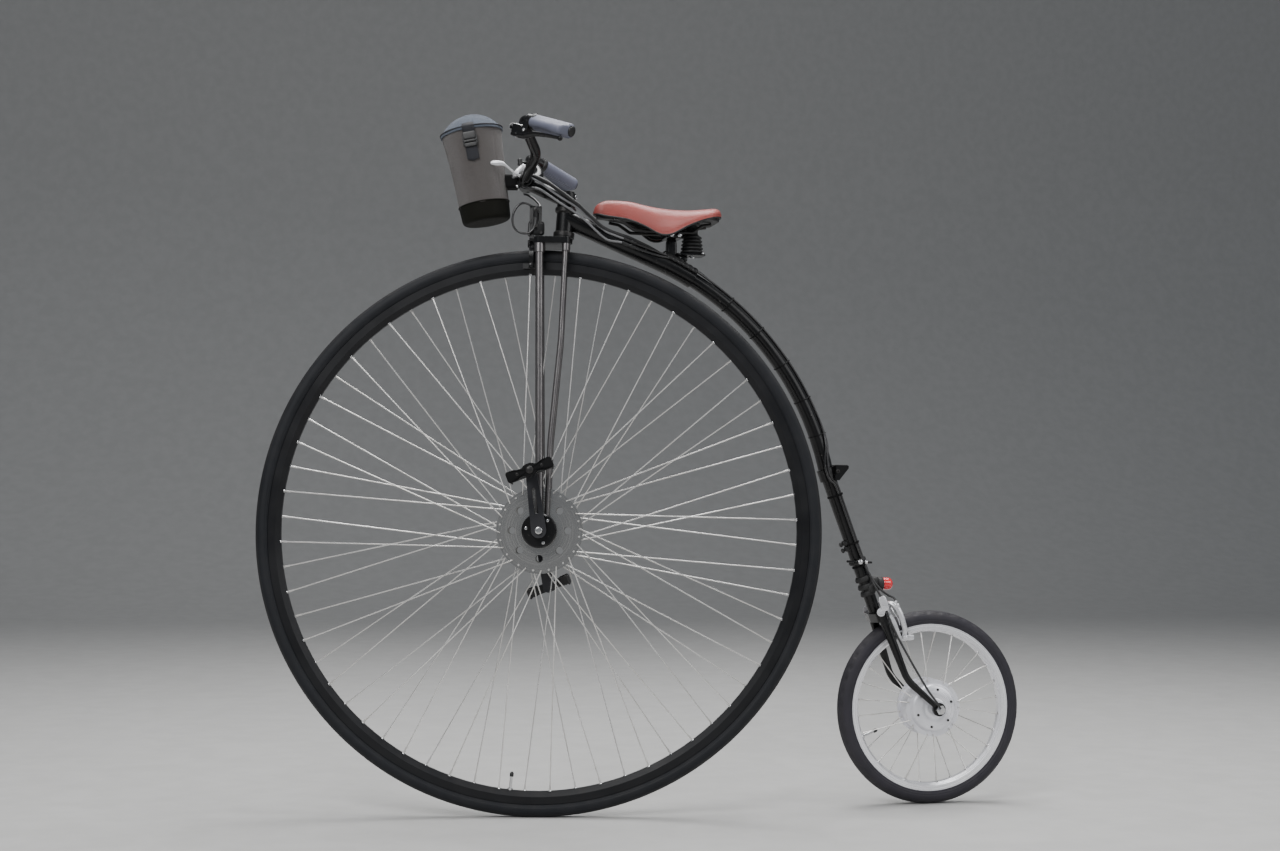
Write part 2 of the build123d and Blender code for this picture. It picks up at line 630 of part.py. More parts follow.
def stem():
    """The clamp on the steerer, its cap and the arm that rises to the bar."""
    start = HEAD_TUBE_END + SEAT_GAP
    clamp = head_plane(start) * Cylinder(STEM_CLAMP_RADIUS, STEM_CLAMP_HEIGHT, align=BASE)
    arm = rod(head_point(start + STEM_CLAMP_HEIGHT / 2), BAR_CLAMP, STEM_RADIUS)
    block = Plane(origin=BAR_CLAMP, x_dir=(1, 0, 0), z_dir=(0, 1, 0)) * Cylinder(BAR_CLAMP_RADIUS,
                                                                                2 * BAR_CLAMP_HALF)
    body = clamp + arm + block
    body = body - head_plane(0) * Cylinder(STEERER_RADIUS, start + STEM_CLAMP_HEIGHT, align=BASE)
    body = body - Plane(origin=BAR_CLAMP, x_dir=(1, 0, 0), z_dir=(0, 1, 0)) * Cylinder(
        BAR_RADIUS, 4 * BAR_CLAMP_HALF)
    cap = head_plane(start + STEM_CLAMP_HEIGHT) * Cylinder(STEM_CAP_RADIUS, STEM_CAP_HEIGHT, align=BASE)
    return body + cap


def handlebar():
    """A swept bar that rises from the clamp, turns back and ends in the grips."""
    path = FilletPolyline(*BAR_ROUTE, radius=BAR_BENDS)
    half = sweep(Plane(origin=path @ 0, z_dir=path % 0) * Circle(BAR_RADIUS), path=path)
    return half + mirror(half, about=Plane.XZ)


def grip_plane(height):
    """The right grip's frame: local Z runs out along the bar, local X outwards."""
    last, end = Vector(*BAR_ROUTE[-2]), Vector(*BAR_ROUTE[-1])
    line = (end - last).normalized()
    origin = end - line * (GRIP_LENGTH - height)
    side = Vector(-line.Y, line.X, 0).normalized()
    return Plane(origin=origin, x_dir=side, z_dir=line)


def grip():
    """A round grip whose outer side widens into a palm rest."""
    sections = []
    for height, wing in ((0.0, GRIP_WING_INNER), (GRIP_LENGTH, GRIP_WING_OUTER)):
        shape = Circle(GRIP_RADIUS) + Pos(wing, -GRIP_WING_DROP) * Circle(GRIP_WING_RADIUS)
        sections.append(grip_plane(height) * make_hull(shape.edges()))
    body = loft(sections)
    bore = grip_plane(-1) * Cylinder(BAR_RADIUS, GRIP_LENGTH + 1, align=BASE)
    cap = grip_plane(GRIP_LENGTH - GRIP_CAP) * Cylinder(GRIP_CAP_RADIUS, 2 * GRIP_CAP, align=BASE)
    return (body + cap) - bore


def perch():
    """The clamp of the right brake lever and its body, which reaches ahead of the bar's bend."""
    ring = grip_plane(PERCH_START) * Cylinder(BAR_RADIUS + PERCH_WALL, PERCH_LENGTH, align=BASE)
    bracket = grip_plane(PERCH_START) * Pos(PERCH_OUT, -PERCH_DROP / 2, 0) * Box(
        PERCH_WIDTH, PERCH_DROP, PERCH_LENGTH, align=BASE)
    height = PERCH_DROP - PERCH_TOP
    body = grip_plane(PERCH_START - PERCH_REACH) * Pos(PERCH_OUT, -PERCH_TOP - height / 2, 0) * Box(
        PERCH_WIDTH, height, PERCH_REACH + PERCH_LENGTH, align=BASE)
    body = fillet(body.edges().filter_by(lambda edge: edge.length < PERCH_REACH), PERCH_ROUND)
    bore = grip_plane(PERCH_START) * Cylinder(BAR_RADIUS + RUNNING_GAP, 3 * PERCH_LENGTH)
    return (ring + bracket + body) - bore


def lever():
    """The right brake lever's blade, curved along the grip, below and outside it."""
    plane = grip_plane(0)
    foot = -(PERCH_DROP + LEVER_RADIUS + SEAT_GAP)
    points = [plane.from_local_coords((x, foot + y, z)) for x, y, z in LEVER_STEPS]
    path = FilletPolyline(*points, radius=LEVER_BEND)
    section = Plane(origin=path @ 0, z_dir=path % 0, x_dir=plane.x_dir) * Circle(LEVER_RADIUS)
    blade = sweep(section, path=path)
    return blade + Pos(*(path @ 1)) * Sphere(LEVER_BALL)


def bag_plane(height):
    lean = radians(BAG_LEAN)
    x, y, z = BAG_BOTTOM
    return Plane(origin=(x - height * sin(lean), y, z + height * cos(lean)),
                 x_dir=(cos(lean), 0, sin(lean)), z_dir=(-sin(lean), 0, cos(lean)))


def bag_radius(height):
    return BAG_BOTTOM_RADIUS + (BAG_TOP_RADIUS - BAG_BOTTOM_RADIUS) * height / BAG_HEIGHT


def bag_body():
    height = BAG_HEIGHT - BAG_LID_SKIRT - BAG_BASE_HEIGHT
    return bag_plane(BAG_BASE_HEIGHT) * Cone(bag_radius(BAG_BASE_HEIGHT),
                                             bag_radius(BAG_HEIGHT - BAG_LID_SKIRT), height, align=BASE)


def bag_base():
    base = bag_plane(0) * Cone(bag_radius(0), bag_radius(BAG_BASE_HEIGHT), BAG_BASE_HEIGHT, align=BASE)
    low = base.edges().filter_by(GeomType.CIRCLE).sort_by(Axis.Z)[0]
    return fillet(low, BAG_FOOT_ROUND)


def bag_lid():
    """A shallow dome over a short skirt."""
    radius = BAG_TOP_RADIUS + BAG_LID_OVERHANG
    dome_radius = (radius ** 2 + BAG_LID_HEIGHT ** 2) / (2 * BAG_LID_HEIGHT)
    skirt = Cylinder(radius, BAG_LID_SKIRT, align=BASE)
    ball = Pos(0, 0, BAG_LID_SKIRT + BAG_LID_HEIGHT - dome_radius) * Sphere(dome_radius)
    dome = ball & Pos(0, 0, BAG_LID_SKIRT) * Cylinder(radius, BAG_LID_HEIGHT, align=BASE)
    return bag_plane(BAG_HEIGHT - BAG_LID_SKIRT) * (skirt + dome)


def bag_bracket():
    """The block that hangs the bag from the stem's clamp."""
    x = BAR_CLAMP[0] - BAR_CLAMP_RADIUS - BRACKET_BLOCK[0] / 2
    block = Pos(x, 0, BAR_CLAMP[2]) * Box(*BRACKET_BLOCK)
    block = fillet(block.edges().filter_by(Axis.X), BRACKET_ROUND)
    block = block - bag_plane(0) * Cone(bag_radius(0), bag_radius(BAG_HEIGHT), BAG_HEIGHT, align=BASE)
    clamp = Plane(origin=BAR_CLAMP, x_dir=(1, 0, 0), z_dir=(0, 1, 0)) * Cylinder(BAR_CLAMP_RADIUS, 4 * BAR_CLAMP_HALF)
    return block - clamp


# Frame

def arc_point(angle, radius=BACKBONE_RADIUS):
    a = radians(angle)
    return (BACKBONE_CENTRE[0] + radius * cos(a), 0.0, BACKBONE_CENTRE[1] + radius * sin(a))


def arc_tube(start, end, radius):
    """A stretch of the backbone's arc, from one angle to the other."""
    path = ThreePointArc(arc_point(start), arc_point((start + end) / 2), arc_point(end))
    return sweep(Plane(origin=path @ 0, z_dir=path % 0) * Circle(radius), path=path)


def backbone():
    return arc_tube(STEP_ANGLE, BACKBONE_END_ANGLE, BACKBONE_TUBE)


def tangent_angle(point):
    """The angle at which a straight line from a point outside meets the backbone's arc."""
    dx, dz = point[0] - BACKBONE_CENTRE[0], point[2] - BACKBONE_CENTRE[1]
    return degrees(atan2(dz, dx) - acos(BACKBONE_RADIUS / hypot(dx, dz)))


def backbone_front():
    """The thicker first stretch, straight from the head and then along the arc."""
    head = head_point(FRONT_SECTION_RISE)
    meet = tangent_angle(head)
    body = rod(head, arc_point(meet), FRONT_SECTION_TUBE) + arc_tube(meet, STEP_ANGLE, FRONT_SECTION_TUBE)
    return body - head_plane(-HEAD_TUBE_END) * Cylinder(HEAD_TUBE_RADIUS, 3 * HEAD_TUBE_END, align=BASE)


def lower_tube():
    return rod(arc_point(BACKBONE_END_ANGLE), LOWER_TUBE_END, BACKBONE_TUBE, LOWER_TUBE) - backbone()


def mounting_step():
    """A clamp ring with a wedge behind it, where the rider's foot goes to mount."""
    x, y, z = arc_point(BACKBONE_END_ANGLE)
    plane = rear_plane()
    up = plane.z_dir
    top = Plane(origin=Vector(x, y, z) - up * STEP_RING_HEIGHT, x_dir=plane.x_dir, z_dir=up)
    ring = top * Cylinder(BACKBONE_TUBE + STEP_RING_WALL, STEP_RING_HEIGHT, align=BASE)
    outline = Polyline(*[(x + dx, z + dz) for dx, dz in STEP_WEDGE], close=True)
    side = Plane(origin=(0, 0, 0), x_dir=(1, 0, 0), z_dir=(0, -1, 0))
    wedge = extrude(side * make_face(outline), amount=STEP_HALF, both=True)
    return (ring + wedge) - top * Cylinder(BACKBONE_TUBE + SEAT_GAP, 4 * STEP_RING_HEIGHT)


def rear_plane():
    """The frame of the rear fork's crown: local Z up the lower tube, local X to the rear."""
    up = (Vector(*arc_point(BACKBONE_END_ANGLE)) - Vector(*LOWER_TUBE_END)).normalized()
    return Plane(origin=LOWER_TUBE_END, x_dir=(up.Z, 0, -up.X), z_dir=up)


def rear_crown():
    """The bridge below the lower tube that carries both blades."""
    lugs = Circle(REAR_CROWN_BOSS)
    for way in (-1, 1):
        lugs += Pos(0, way * REAR_CROWN_HALF) * Circle(REAR_CROWN_LUG)
    outline = make_hull(lugs.edges())
    return rear_plane() * Pos(0, 0, -REAR_CROWN_HEIGHT) * extrude(outline, amount=REAR_CROWN_HEIGHT)


def rear_blade():
    """The right blade, two tapers joined by a bend, and its dropout."""
    plane = rear_plane()
    foot = Vector(*REAR_HUB) + Vector(*REAR_BLADE_FOOT)
    route = [plane.from_local_coords(REAR_BLADE_TOP), plane.from_local_coords(REAR_BLADE_KNEE), foot]
    path = FilletPolyline(*route, radius=REAR_BLADE_BEND)
    upper, bend, lower = path.edges()
    top, mid, low = REAR_BLADE_RADII
    body = rod(tuple(upper @ 0), tuple(upper @ 1), top, mid)
    body += sweep(Plane(origin=bend @ 0, z_dir=bend % 0) * Circle(mid), path=bend)
    body += rod(tuple(lower @ 0), tuple(lower @ 1), mid, low)
    across = Pos(WHEELBASE, REAR_DROPOUT_HALF, REAR_RADIUS) * Rot(90, 0, 0)
    body += across * Cylinder(DROPOUT_RADIUS, DROPOUT_THICKNESS)
    body -= across * Cylinder(REAR_AXLE_RADIUS, 5 * DROPOUT_THICKNESS)
    crown_space = Cylinder(2 * REAR_CROWN_HALF, 3 * REAR_CROWN_HEIGHT, align=BASE)
    return body - plane * Pos(0, 0, -REAR_CROWN_HEIGHT) * crown_space


def rear_axle():
    """The fixed axle with a spacer and a nut on each side, and its free ends."""
    across = Rot(90, 0, 0)
    body = across * Cylinder(REAR_AXLE_RADIUS, 2 * REAR_AXLE_END)
    plate = DROPOUT_THICKNESS / 2
    start = MOTOR_HALF_WIDTH + SEAT_GAP
    end = REAR_DROPOUT_HALF - plate
    for way in (-1, 1):
        body += Pos(0, way * (start + end) / 2, 0) * across * Cylinder(SPACER_RADIUS, end - start)
        nut = extrude(RegularPolygon(NUT_RADIUS, 6), amount=NUT_HEIGHT / 2, both=True)
        body += Pos(0, way * (REAR_DROPOUT_HALF + plate + NUT_HEIGHT / 2), 0) * across * nut
    return Pos(*REAR_HUB) * body


def horseshoe(inner, outer, legs):
    """A caliper's arch: half a ring with two straight legs, drawn about the ring's centre."""
    arch = (Circle(outer) - Circle(inner)) & Pos(0, outer) * Rectangle(4 * outer, 2 * outer)
    width = outer - inner
    for way in (-1, 1):
        arch += Pos(way * (inner + width / 2), -legs / 2) * Rectangle(width, legs)
    return arch


def caliper(plane, arch_centre, inner, outer, legs):
    """A side-pull brake in a plane across the bicycle: the arch and its centre bolt."""
    body = Pos(0, arch_centre, 0) * extrude(horseshoe(inner, outer, legs), amount=CALIPER_DEPTH)
    bolt = Cylinder(CALIPER_BOLT_RADIUS, CALIPER_DEPTH + CALIPER_BOLT_HEAD, align=BASE)
    return plane * (body + Pos(0, arch_centre + (inner + outer) / 2, 0) * bolt)


def front_brake():
    """The front caliper on the crown's front face, with the arm that the cable pulls."""
    plane = Plane(origin=(FRONT_CALIPER_X, 0, 0), x_dir=(0, -1, 0), z_dir=(-1, 0, 0))
    body = caliper(plane, FRONT_ARCH_CENTRE, FRONT_ARCH_INNER, FRONT_ARCH_OUTER, FRONT_LEG_DROP)
    low, high = FRONT_ARM_RADII
    outline = make_hull((Circle(low) + Pos(FRONT_ARM_LEAN, FRONT_ARM_RISE) * Circle(high)).edges())
    arm = extrude(outline, amount=CALIPER_DEPTH)
    above = Pos(0, FRONT_ARM_FOOT + FRONT_ARM_RISE) * Rectangle(6 * CALIPER_DEPTH, 2 * FRONT_ARM_RISE)
    arm += extrude(outline & above, amount=-FRONT_ARM_DEPTH)
    return body + plane * Pos(FRONT_ARM_Y, FRONT_ARM_Z, 0) * arm


def front_pads():
    length, height = FRONT_PAD
    gap = FRONT_RIM_WIDTH / 2 + MOVING_GAP
    width = FRONT_ARCH_INNER - gap
    x = FRONT_CALIPER_X - CALIPER_DEPTH / 2
    z = FRONT_ARCH_CENTRE - FRONT_LEG_DROP + FRONT_PAD_RISE
    return both_sides(Pos(x, gap + width / 2, z) * Box(length, width, height))


def rear_rim_depth():
    """How far the rim's braking band lies below the rear crown, in the caliper's plane."""
    middle = REAR_CALIPER_FRONT + CALIPER_DEPTH / 2
    hub = rear_plane().to_local_coords(Vector(*REAR_HUB))
    band = (REAR_RIM_INNER + REAR_RIM_OUTER) / 2 + REAR_BAND_RISE
    return -(hub.Z + sqrt(band ** 2 - (hub.X - middle) ** 2))


def rear_brake():
    """The rear caliper, behind the rear fork's crown."""
    plane = rear_plane()
    face = Plane(origin=plane.origin + plane.x_dir * REAR_CALIPER_FRONT, x_dir=(0, 1, 0), z_dir=plane.x_dir)
    centre = -REAR_BOLT_DROP - (REAR_ARCH_INNER + REAR_ARCH_OUTER) / 2
    return caliper(face, centre, REAR_ARCH_INNER, REAR_ARCH_OUTER, rear_rim_depth() + centre + REAR_LEG_BELOW)


def rear_pads():
    length, height = REAR_PAD
    gap = REAR_RIM_WIDTH / 2 + MOVING_GAP
    width = REAR_ARCH_INNER - gap
    middle = REAR_CALIPER_FRONT + CALIPER_DEPTH / 2 + REAR_PAD_SHIFT
    pad = Pos(middle, gap + width / 2, -rear_rim_depth()) * Box(length, width, height)
    return both_sides(rear_plane() * pad)


def lamp_plane(out):
    """The lamp's frame, so far behind its case's front: local Z points to the rear."""
    place = rear_plane().from_local_coords((0, 0, LAMP_UP))
    return Plane(origin=place + Vector(LAMP_BEHIND + out, 0, 0), x_dir=(0, 1, 0), z_dir=(1, 0, 0))


def tail_lamp():
    """The lamp's round case on a short bracket from the lower tube."""
    case = lamp_plane(0) * Cylinder(LAMP_RADIUS, LAMP_DEPTH, align=BASE)
    length, width, height = LAMP_BRACKET
    bracket = lamp_plane(-length / 3) * Box(width, height, length)
    tube = rod(arc_point(BACKBONE_END_ANGLE), LOWER_TUBE_END, BACKBONE_TUBE, LOWER_TUBE)
    return (case + bracket) - tube


def tail_lens():
    """The lens, a deep cup with a rounded end."""
    ball = Pos(0, 0, LENS_LENGTH - LENS_BALL) * Sphere(LENS_BALL)
    return lamp_plane(LAMP_DEPTH) * (ball & Cylinder(LENS_RADIUS, LENS_LENGTH, align=BASE))


# Saddle

def saddle_plan(inset):
    """The saddle's outline from above, less an inset all round."""
    nose, corner = SADDLE_NOSE_HALF, SADDLE_TAIL_CORNER
    left, neck = SADDLE_NOSE_X + nose, SADDLE_NOSE_X + SADDLE_NOSE_LENGTH
    right, side = SADDLE_TAIL_X - corner, SADDLE_TAIL_HALF - corner
    outline = make_hull((Pos(left, 0) * Circle(nose) + Pos(neck, 0) * Circle(nose)).edges())
    rear = make_hull((Pos(neck, 0) * Circle(nose) + Pos(right, side) * Circle(corner)
                      + Pos(right, -side) * Circle(corner)).edges())
    shape = outline + rear
    return offset(shape, -inset) if inset else shape


def saddle_side():
    """The cover from the side: the nose, the dipped top, the raised tail and the skirt."""
    face = make_face(Polyline(*[(SADDLE_NOSE_X + dx, RAIL_Z + dz) for dx, dz in SADDLE_SIDE], close=True))
    side = Plane(origin=(0, 0, 0), x_dir=(1, 0, 0), z_dir=(0, -1, 0))
    return extrude(side * face, amount=SADDLE_CROWN, both=True)


def saddle_cover():
    """The saddle's skin: arched across, open below over the base."""
    floor = Pos(0, 0, SADDLE_TOP_Z - SADDLE_CROWN)
    plan = floor * extrude(saddle_plan(0), amount=2 * SADDLE_CROWN)
    axis = Plane(origin=(SADDLE_NOSE_X, 0, SADDLE_TOP_Z - SADDLE_CROWN), z_dir=(1, 0, 0))
    crown = axis * Cylinder(SADDLE_CROWN, 3 * SADDLE_LENGTH)
    inside = SADDLE_BASE_Z + SADDLE_BASE_THICKNESS + SEAT_GAP - (SADDLE_TOP_Z - SADDLE_CROWN)
    hollow = floor * extrude(saddle_plan(SADDLE_SKIN), amount=inside)
    return (saddle_side() & plan & crown) - hollow


def saddle_base():
    plate = extrude(saddle_plan(SADDLE_SKIN + SEAT_GAP), amount=SADDLE_BASE_THICKNESS)
    return Pos(0, 0, SADDLE_BASE_Z) * plate


def saddle_rails():
    """Two rails under the base, dropped to the clamp in the middle."""
    top = SADDLE_BASE_Z - RAIL_RADIUS
    front = [(CLAMP_X - x, RAIL_HALF, z) for x, z in zip(
        (RAIL_ENDS[0], RAIL_KNEES[0], RAIL_FLAT[0]), (top, top - RAIL_RADIUS, RAIL_Z))]
    rear = [(CLAMP_X + x, RAIL_HALF, z) for x, z in zip(
        (RAIL_FLAT[1], RAIL_KNEES[1], RAIL_ENDS[1]), (RAIL_Z, top - RAIL_RADIUS, top))]
    path = FilletPolyline(*front, *rear, radius=RAIL_BEND)
    rail = sweep(Plane(origin=path @ 0, z_dir=path % 0) * Circle(RAIL_RADIUS), path=path)
    return both_sides(rail)


def saddle_clamp():
    """The post on the backbone that holds the rails, with a shelf for the spring."""
    jaw_z = RAIL_Z - CLAMP_JAW / 2
    post = Pos(CLAMP_X, 0, RAIL_Z - RAIL_RISE) * Box(*CLAMP_POST, RAIL_RISE - CLAMP_JAW / 4, align=BASE)
    jaw_width = 2 * (RAIL_HALF + 2 * RAIL_RADIUS)
    jaw = Pos(CLAMP_X, 0, jaw_z) * Box(CLAMP_JAW_LENGTH, jaw_width, CLAMP_JAW, align=BASE)
    shelf = Pos(CLAMP_X + SHELF_SHIFT, 0, SHELF_Z) * Box(*SHELF, align=BASE)
    body = post + jaw + shelf
    groove = Rot(0, 90, 0) * Cylinder(RAIL_RADIUS, 3 * CLAMP_JAW_LENGTH)
    for way in (-1, 1):
        body -= Pos(CLAMP_X, way * RAIL_HALF, RAIL_Z) * groove
    return body - backbone_front() - backbone()


def saddle_springs():
    """A ribbed rubber spring between the shelf and the saddle's base."""
    start = SHELF_Z + SHELF[2]
    height = SADDLE_BASE_Z - start
    profile = [(0, 0)]
    for rib in range(SPRING_RIBS):
        low = 2 * rib * SPRING_RIB
        profile += [(SPRING_WIDE, low), (SPRING_WIDE, low + SPRING_RIB), (SPRING_NARROW, low + 1.5 * SPRING_RIB)]
    profile += [(SPRING_NECK, 2 * SPRING_RIBS * SPRING_RIB), (SPRING_NECK, height), (0, height)]
    spring = revolve(Plane.XZ * make_face(Polyline(*profile, close=True)), axis=Axis.Z)
    return Pos(CLAMP_X + SPRING_SHIFT, 0, start) * spring


# Cables

def cable(points, radii):
    path = FilletPolyline(*points, radius=radii)
    return sweep(Plane(origin=path @ 0, z_dir=path % 0) * Circle(CABLE_RADIUS), path=path)


def rear_cable():
    """The brake cable along the outside of the backbone to the rear caliper."""
    lift = BACKBONE_TUBE + CABLE_RADIUS + SEAT_GAP
    start, end = STEP_ANGLE - REAR_CABLE_ENDS[0], BACKBONE_END_ANGLE + REAR_CABLE_ENDS[1]
    radius = BACKBONE_RADIUS + lift
    path = ThreePointArc(arc_point(start, radius), arc_point((start + end) / 2, radius),
                         arc_point(end, radius))
    return sweep(Plane(origin=path @ 0, z_dir=path % 0) * Circle(CABLE_RADIUS), path=path)


def front_cable():
    """The brake cable that loops down from the bar to the front caliper."""
    side = -(BAR_CLAMP_HALF + CABLE_RADIUS + SEAT_GAP)
    points = [(BAR_CLAMP[0] + dx, side, BAR_CLAMP[2] + dz) for dx, dz in FRONT_CABLE_STEPS]
    return cable(points, FRONT_CABLE_BEND)


# Every piece by name: the frame's, the steering's, the front wheel's, the pedals' and the rear wheel's

FRONT_PLANE = wheel_plane(FRONT_HUB)
REAR_PLANE = wheel_plane(REAR_HUB)

FRAME_PIECES = {
    "backbone": backbone(),
    "backbone_front": backbone_front(),
    "head_tube": head_tube(),
    "lower_tube": lower_tube(),
    "mounting_step": mounting_step(),
    "rear_crown": rear_crown(),
    "rear_blade_right": rear_blade(),
    "rear_blade_left": mirror(rear_blade(), about=Plane.XZ),
    "rear_axle": rear_axle(),
    "rear_brake": rear_brake(),
    "rear_brake_pads": rear_pads(),
    "tail_lamp": tail_lamp(),
    "tail_lens": tail_lens(),
    "saddle_cover": saddle_cover(),
    "saddle_base": saddle_base(),
    "saddle_rails": saddle_rails(),
    "saddle_clamp": saddle_clamp(),
    "saddle_springs": saddle_springs(),
    "rear_cable": rear_cable(),
    "rear_tyre": REAR_PLANE * tyre(REAR_RADIUS, REAR_TYRE_WIDTH, REAR_RIM_SEAT + SEAT_GAP,
                                   REAR_TYRE_BEAD, REAR_RIM_OUTER + 0.5),
    "rear_rim": REAR_PLANE * rear_rim(),
    "rear_spokes": REAR_PLANE * rear_spokes(),
    "motor_shell": REAR_PLANE * motor_shell(),
}

HOUSING = housing_body(AXLE_RADIUS + RUNNING_GAP)
STEERED_PIECES = {
    "fork_crown": fork_crown(),
    "fork_right": fork_side(),
    "fork_left": mirror(fork_side(), about=Plane.XZ),
    "bearing_right": HOUSING,
    "bearing_left": mirror(HOUSING, about=Plane.XZ),
    "stem": stem(),
    "handlebar": handlebar(),
    "grip_right": grip(),
    "grip_left": mirror(grip(), about=Plane.XZ),
    "brake_perches": both_sides(perch()),
    "lever_right": lever(),
    "lever_left": mirror(lever(), about=Plane.XZ),
    "bag_body": bag_body(),
    "bag_base": bag_base(),
    "bag_lid": bag_lid(),
    "bag_bracket": bag_bracket(),
    "front_brake": front_brake(),
    "front_brake_pads": front_pads(),
    "front_cable": front_cable(),
    "front_tyre": FRONT_PLANE * tyre(FRONT_RADIUS, FRONT_TYRE_WIDTH, FRONT_RIM_SEAT + SEAT_GAP,
                                     FRONT_RIM_NOSE - 1, FRONT_RIM_SEAT + FRONT_RIM_LIP + 0.5),
    "front_rim": FRONT_PLANE * front_rim(),
    "front_spokes": FRONT_PLANE * front_spokes(),
    "front_hub": FRONT_PLANE * front_hub(),
    "crank_right": crank_on(1),
    "crank_left": crank_on(-1),
    "pedal_right": pedal_on(1),
    "pedal_left": pedal_on(-1),
}

TO_RIDER = Pos(*[-value for value in RIDER])

os.makedirs("parts", exist_ok=True)
for name, piece in FRAME_PIECES.items():
    export_step(TO_RIDER * piece, f"parts/{name}.step")
for name, piece in STEERED_PIECES.items():
    export_step(TO_RIDER * steered(piece), f"parts/{name}.step")
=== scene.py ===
"""Looks of a penny farthing bicycle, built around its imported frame.

Sizes are millimetres. Points are given from the ground point below the big wheel's hub,
with X to the rear, Y to the bicycle's right and Z up, and the steering straight ahead.
"""

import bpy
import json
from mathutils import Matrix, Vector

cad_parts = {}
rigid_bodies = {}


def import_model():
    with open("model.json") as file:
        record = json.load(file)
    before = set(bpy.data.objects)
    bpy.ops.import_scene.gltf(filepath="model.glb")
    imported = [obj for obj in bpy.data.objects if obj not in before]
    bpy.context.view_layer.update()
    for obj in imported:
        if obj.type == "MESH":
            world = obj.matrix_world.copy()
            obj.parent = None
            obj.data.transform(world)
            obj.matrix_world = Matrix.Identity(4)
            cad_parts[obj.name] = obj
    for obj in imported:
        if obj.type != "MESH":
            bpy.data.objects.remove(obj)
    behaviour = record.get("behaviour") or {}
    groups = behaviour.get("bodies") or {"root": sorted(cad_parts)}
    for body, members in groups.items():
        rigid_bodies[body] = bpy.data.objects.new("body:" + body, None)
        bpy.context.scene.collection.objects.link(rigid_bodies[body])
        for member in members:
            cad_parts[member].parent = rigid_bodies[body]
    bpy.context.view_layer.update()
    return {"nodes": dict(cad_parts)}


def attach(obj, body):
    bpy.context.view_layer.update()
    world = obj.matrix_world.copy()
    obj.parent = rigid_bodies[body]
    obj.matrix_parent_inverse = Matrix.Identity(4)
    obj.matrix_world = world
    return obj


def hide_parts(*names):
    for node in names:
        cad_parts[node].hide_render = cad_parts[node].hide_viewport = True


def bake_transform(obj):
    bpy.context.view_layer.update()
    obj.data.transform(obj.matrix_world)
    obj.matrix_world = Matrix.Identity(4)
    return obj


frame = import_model()

import json
import logging
import math
from dataclasses import dataclass, field
from enum import Enum
from functools import cache

import bmesh
import bpy
import numpy as np

LOG = logging.getLogger("penny_farthing")

Point = tuple[float, float, float]
Socket = bpy.types.NodeSocket
Sockets = tuple[Socket, Socket, Socket]
METRE = 1000.0
SEAT = np.array([300.0, 0.0, 1324.0])
BIG_HUB = np.array([0.0, 0.0, 609.5])
SMALL_HUB = np.array([897.0, 0.0, 217.0])
RAKE = math.radians(4.0)
REST_TURN = math.radians(-12.0)
STEER_LINE = np.array([math.sin(RAKE), 0.0, math.cos(RAKE)])
X = np.array([1.0, 0.0, 0.0])
Y = np.array([0.0, 1.0, 0.0])
Z = np.array([0.0, 0.0, 1.0])
SQUARE = np.eye(3)
SIDES = ((-1, "left"), (1, "right"))
MERGED = 2e-6
COLLAPSED = 1e-6


class Body(Enum):
    """The moving groups of the bicycle."""

    FRAME = "frame"
    STEERING = "steering"
    BIG_WHEEL = "front_wheel"
    SMALL_WHEEL = "rear_wheel"
    PEDAL_LEFT = "pedal_left"
    PEDAL_RIGHT = "pedal_right"


STEERED = (Body.STEERING, Body.BIG_WHEEL, Body.PEDAL_LEFT, Body.PEDAL_RIGHT)


def turn_about(points: np.ndarray, origin: np.ndarray, line: np.ndarray, angle: float) -> np.ndarray:
    """Turns points about a line: v cos a + (k x v) sin a + k (k . v) (1 - cos a).

    Args:
        points: an array whose last axis is x, y, z.
        origin: a point on the line.
        line: the line's unit direction k.
        angle: the turn a in radians.

    Returns:
        The turned points, in the same shape.
    """
    v = np.asarray(points, float) - origin
    along = (v @ line)[..., None] * line
    return origin + v * math.cos(angle) + np.cross(line, v) * math.sin(angle) + along * (1 - math.cos(angle))


def steer(points: "list[Point] | np.ndarray") -> np.ndarray:
    """Drawn points of the steering, turned to where they stand at rest."""
    return turn_about(points, BIG_HUB, STEER_LINE, REST_TURN)


def placed(points: np.ndarray, body: Body) -> np.ndarray:
    """Moves drawn points to metres from the seat point, turned with the steering where they ride on it."""
    drawn = steer(points) if body in STEERED else np.asarray(points, float)
    return (drawn - SEAT) / METRE


def unit(vector: np.ndarray) -> np.ndarray:
    """The vector scaled to length one, along its last axis."""
    v = np.asarray(vector, float)
    return v / np.maximum(np.linalg.norm(v, axis=-1, keepdims=True), 1e-12)


def once_round(count: int) -> np.ndarray:
    """Evenly spaced angles that go once round."""
    return np.linspace(0, 2 * math.pi, count, endpoint=False)


def upright(angle: float) -> np.ndarray:
    """The direction at an angle from X towards Z, in radians."""
    return np.array([math.cos(angle), 0.0, math.sin(angle)])


# Surfaces


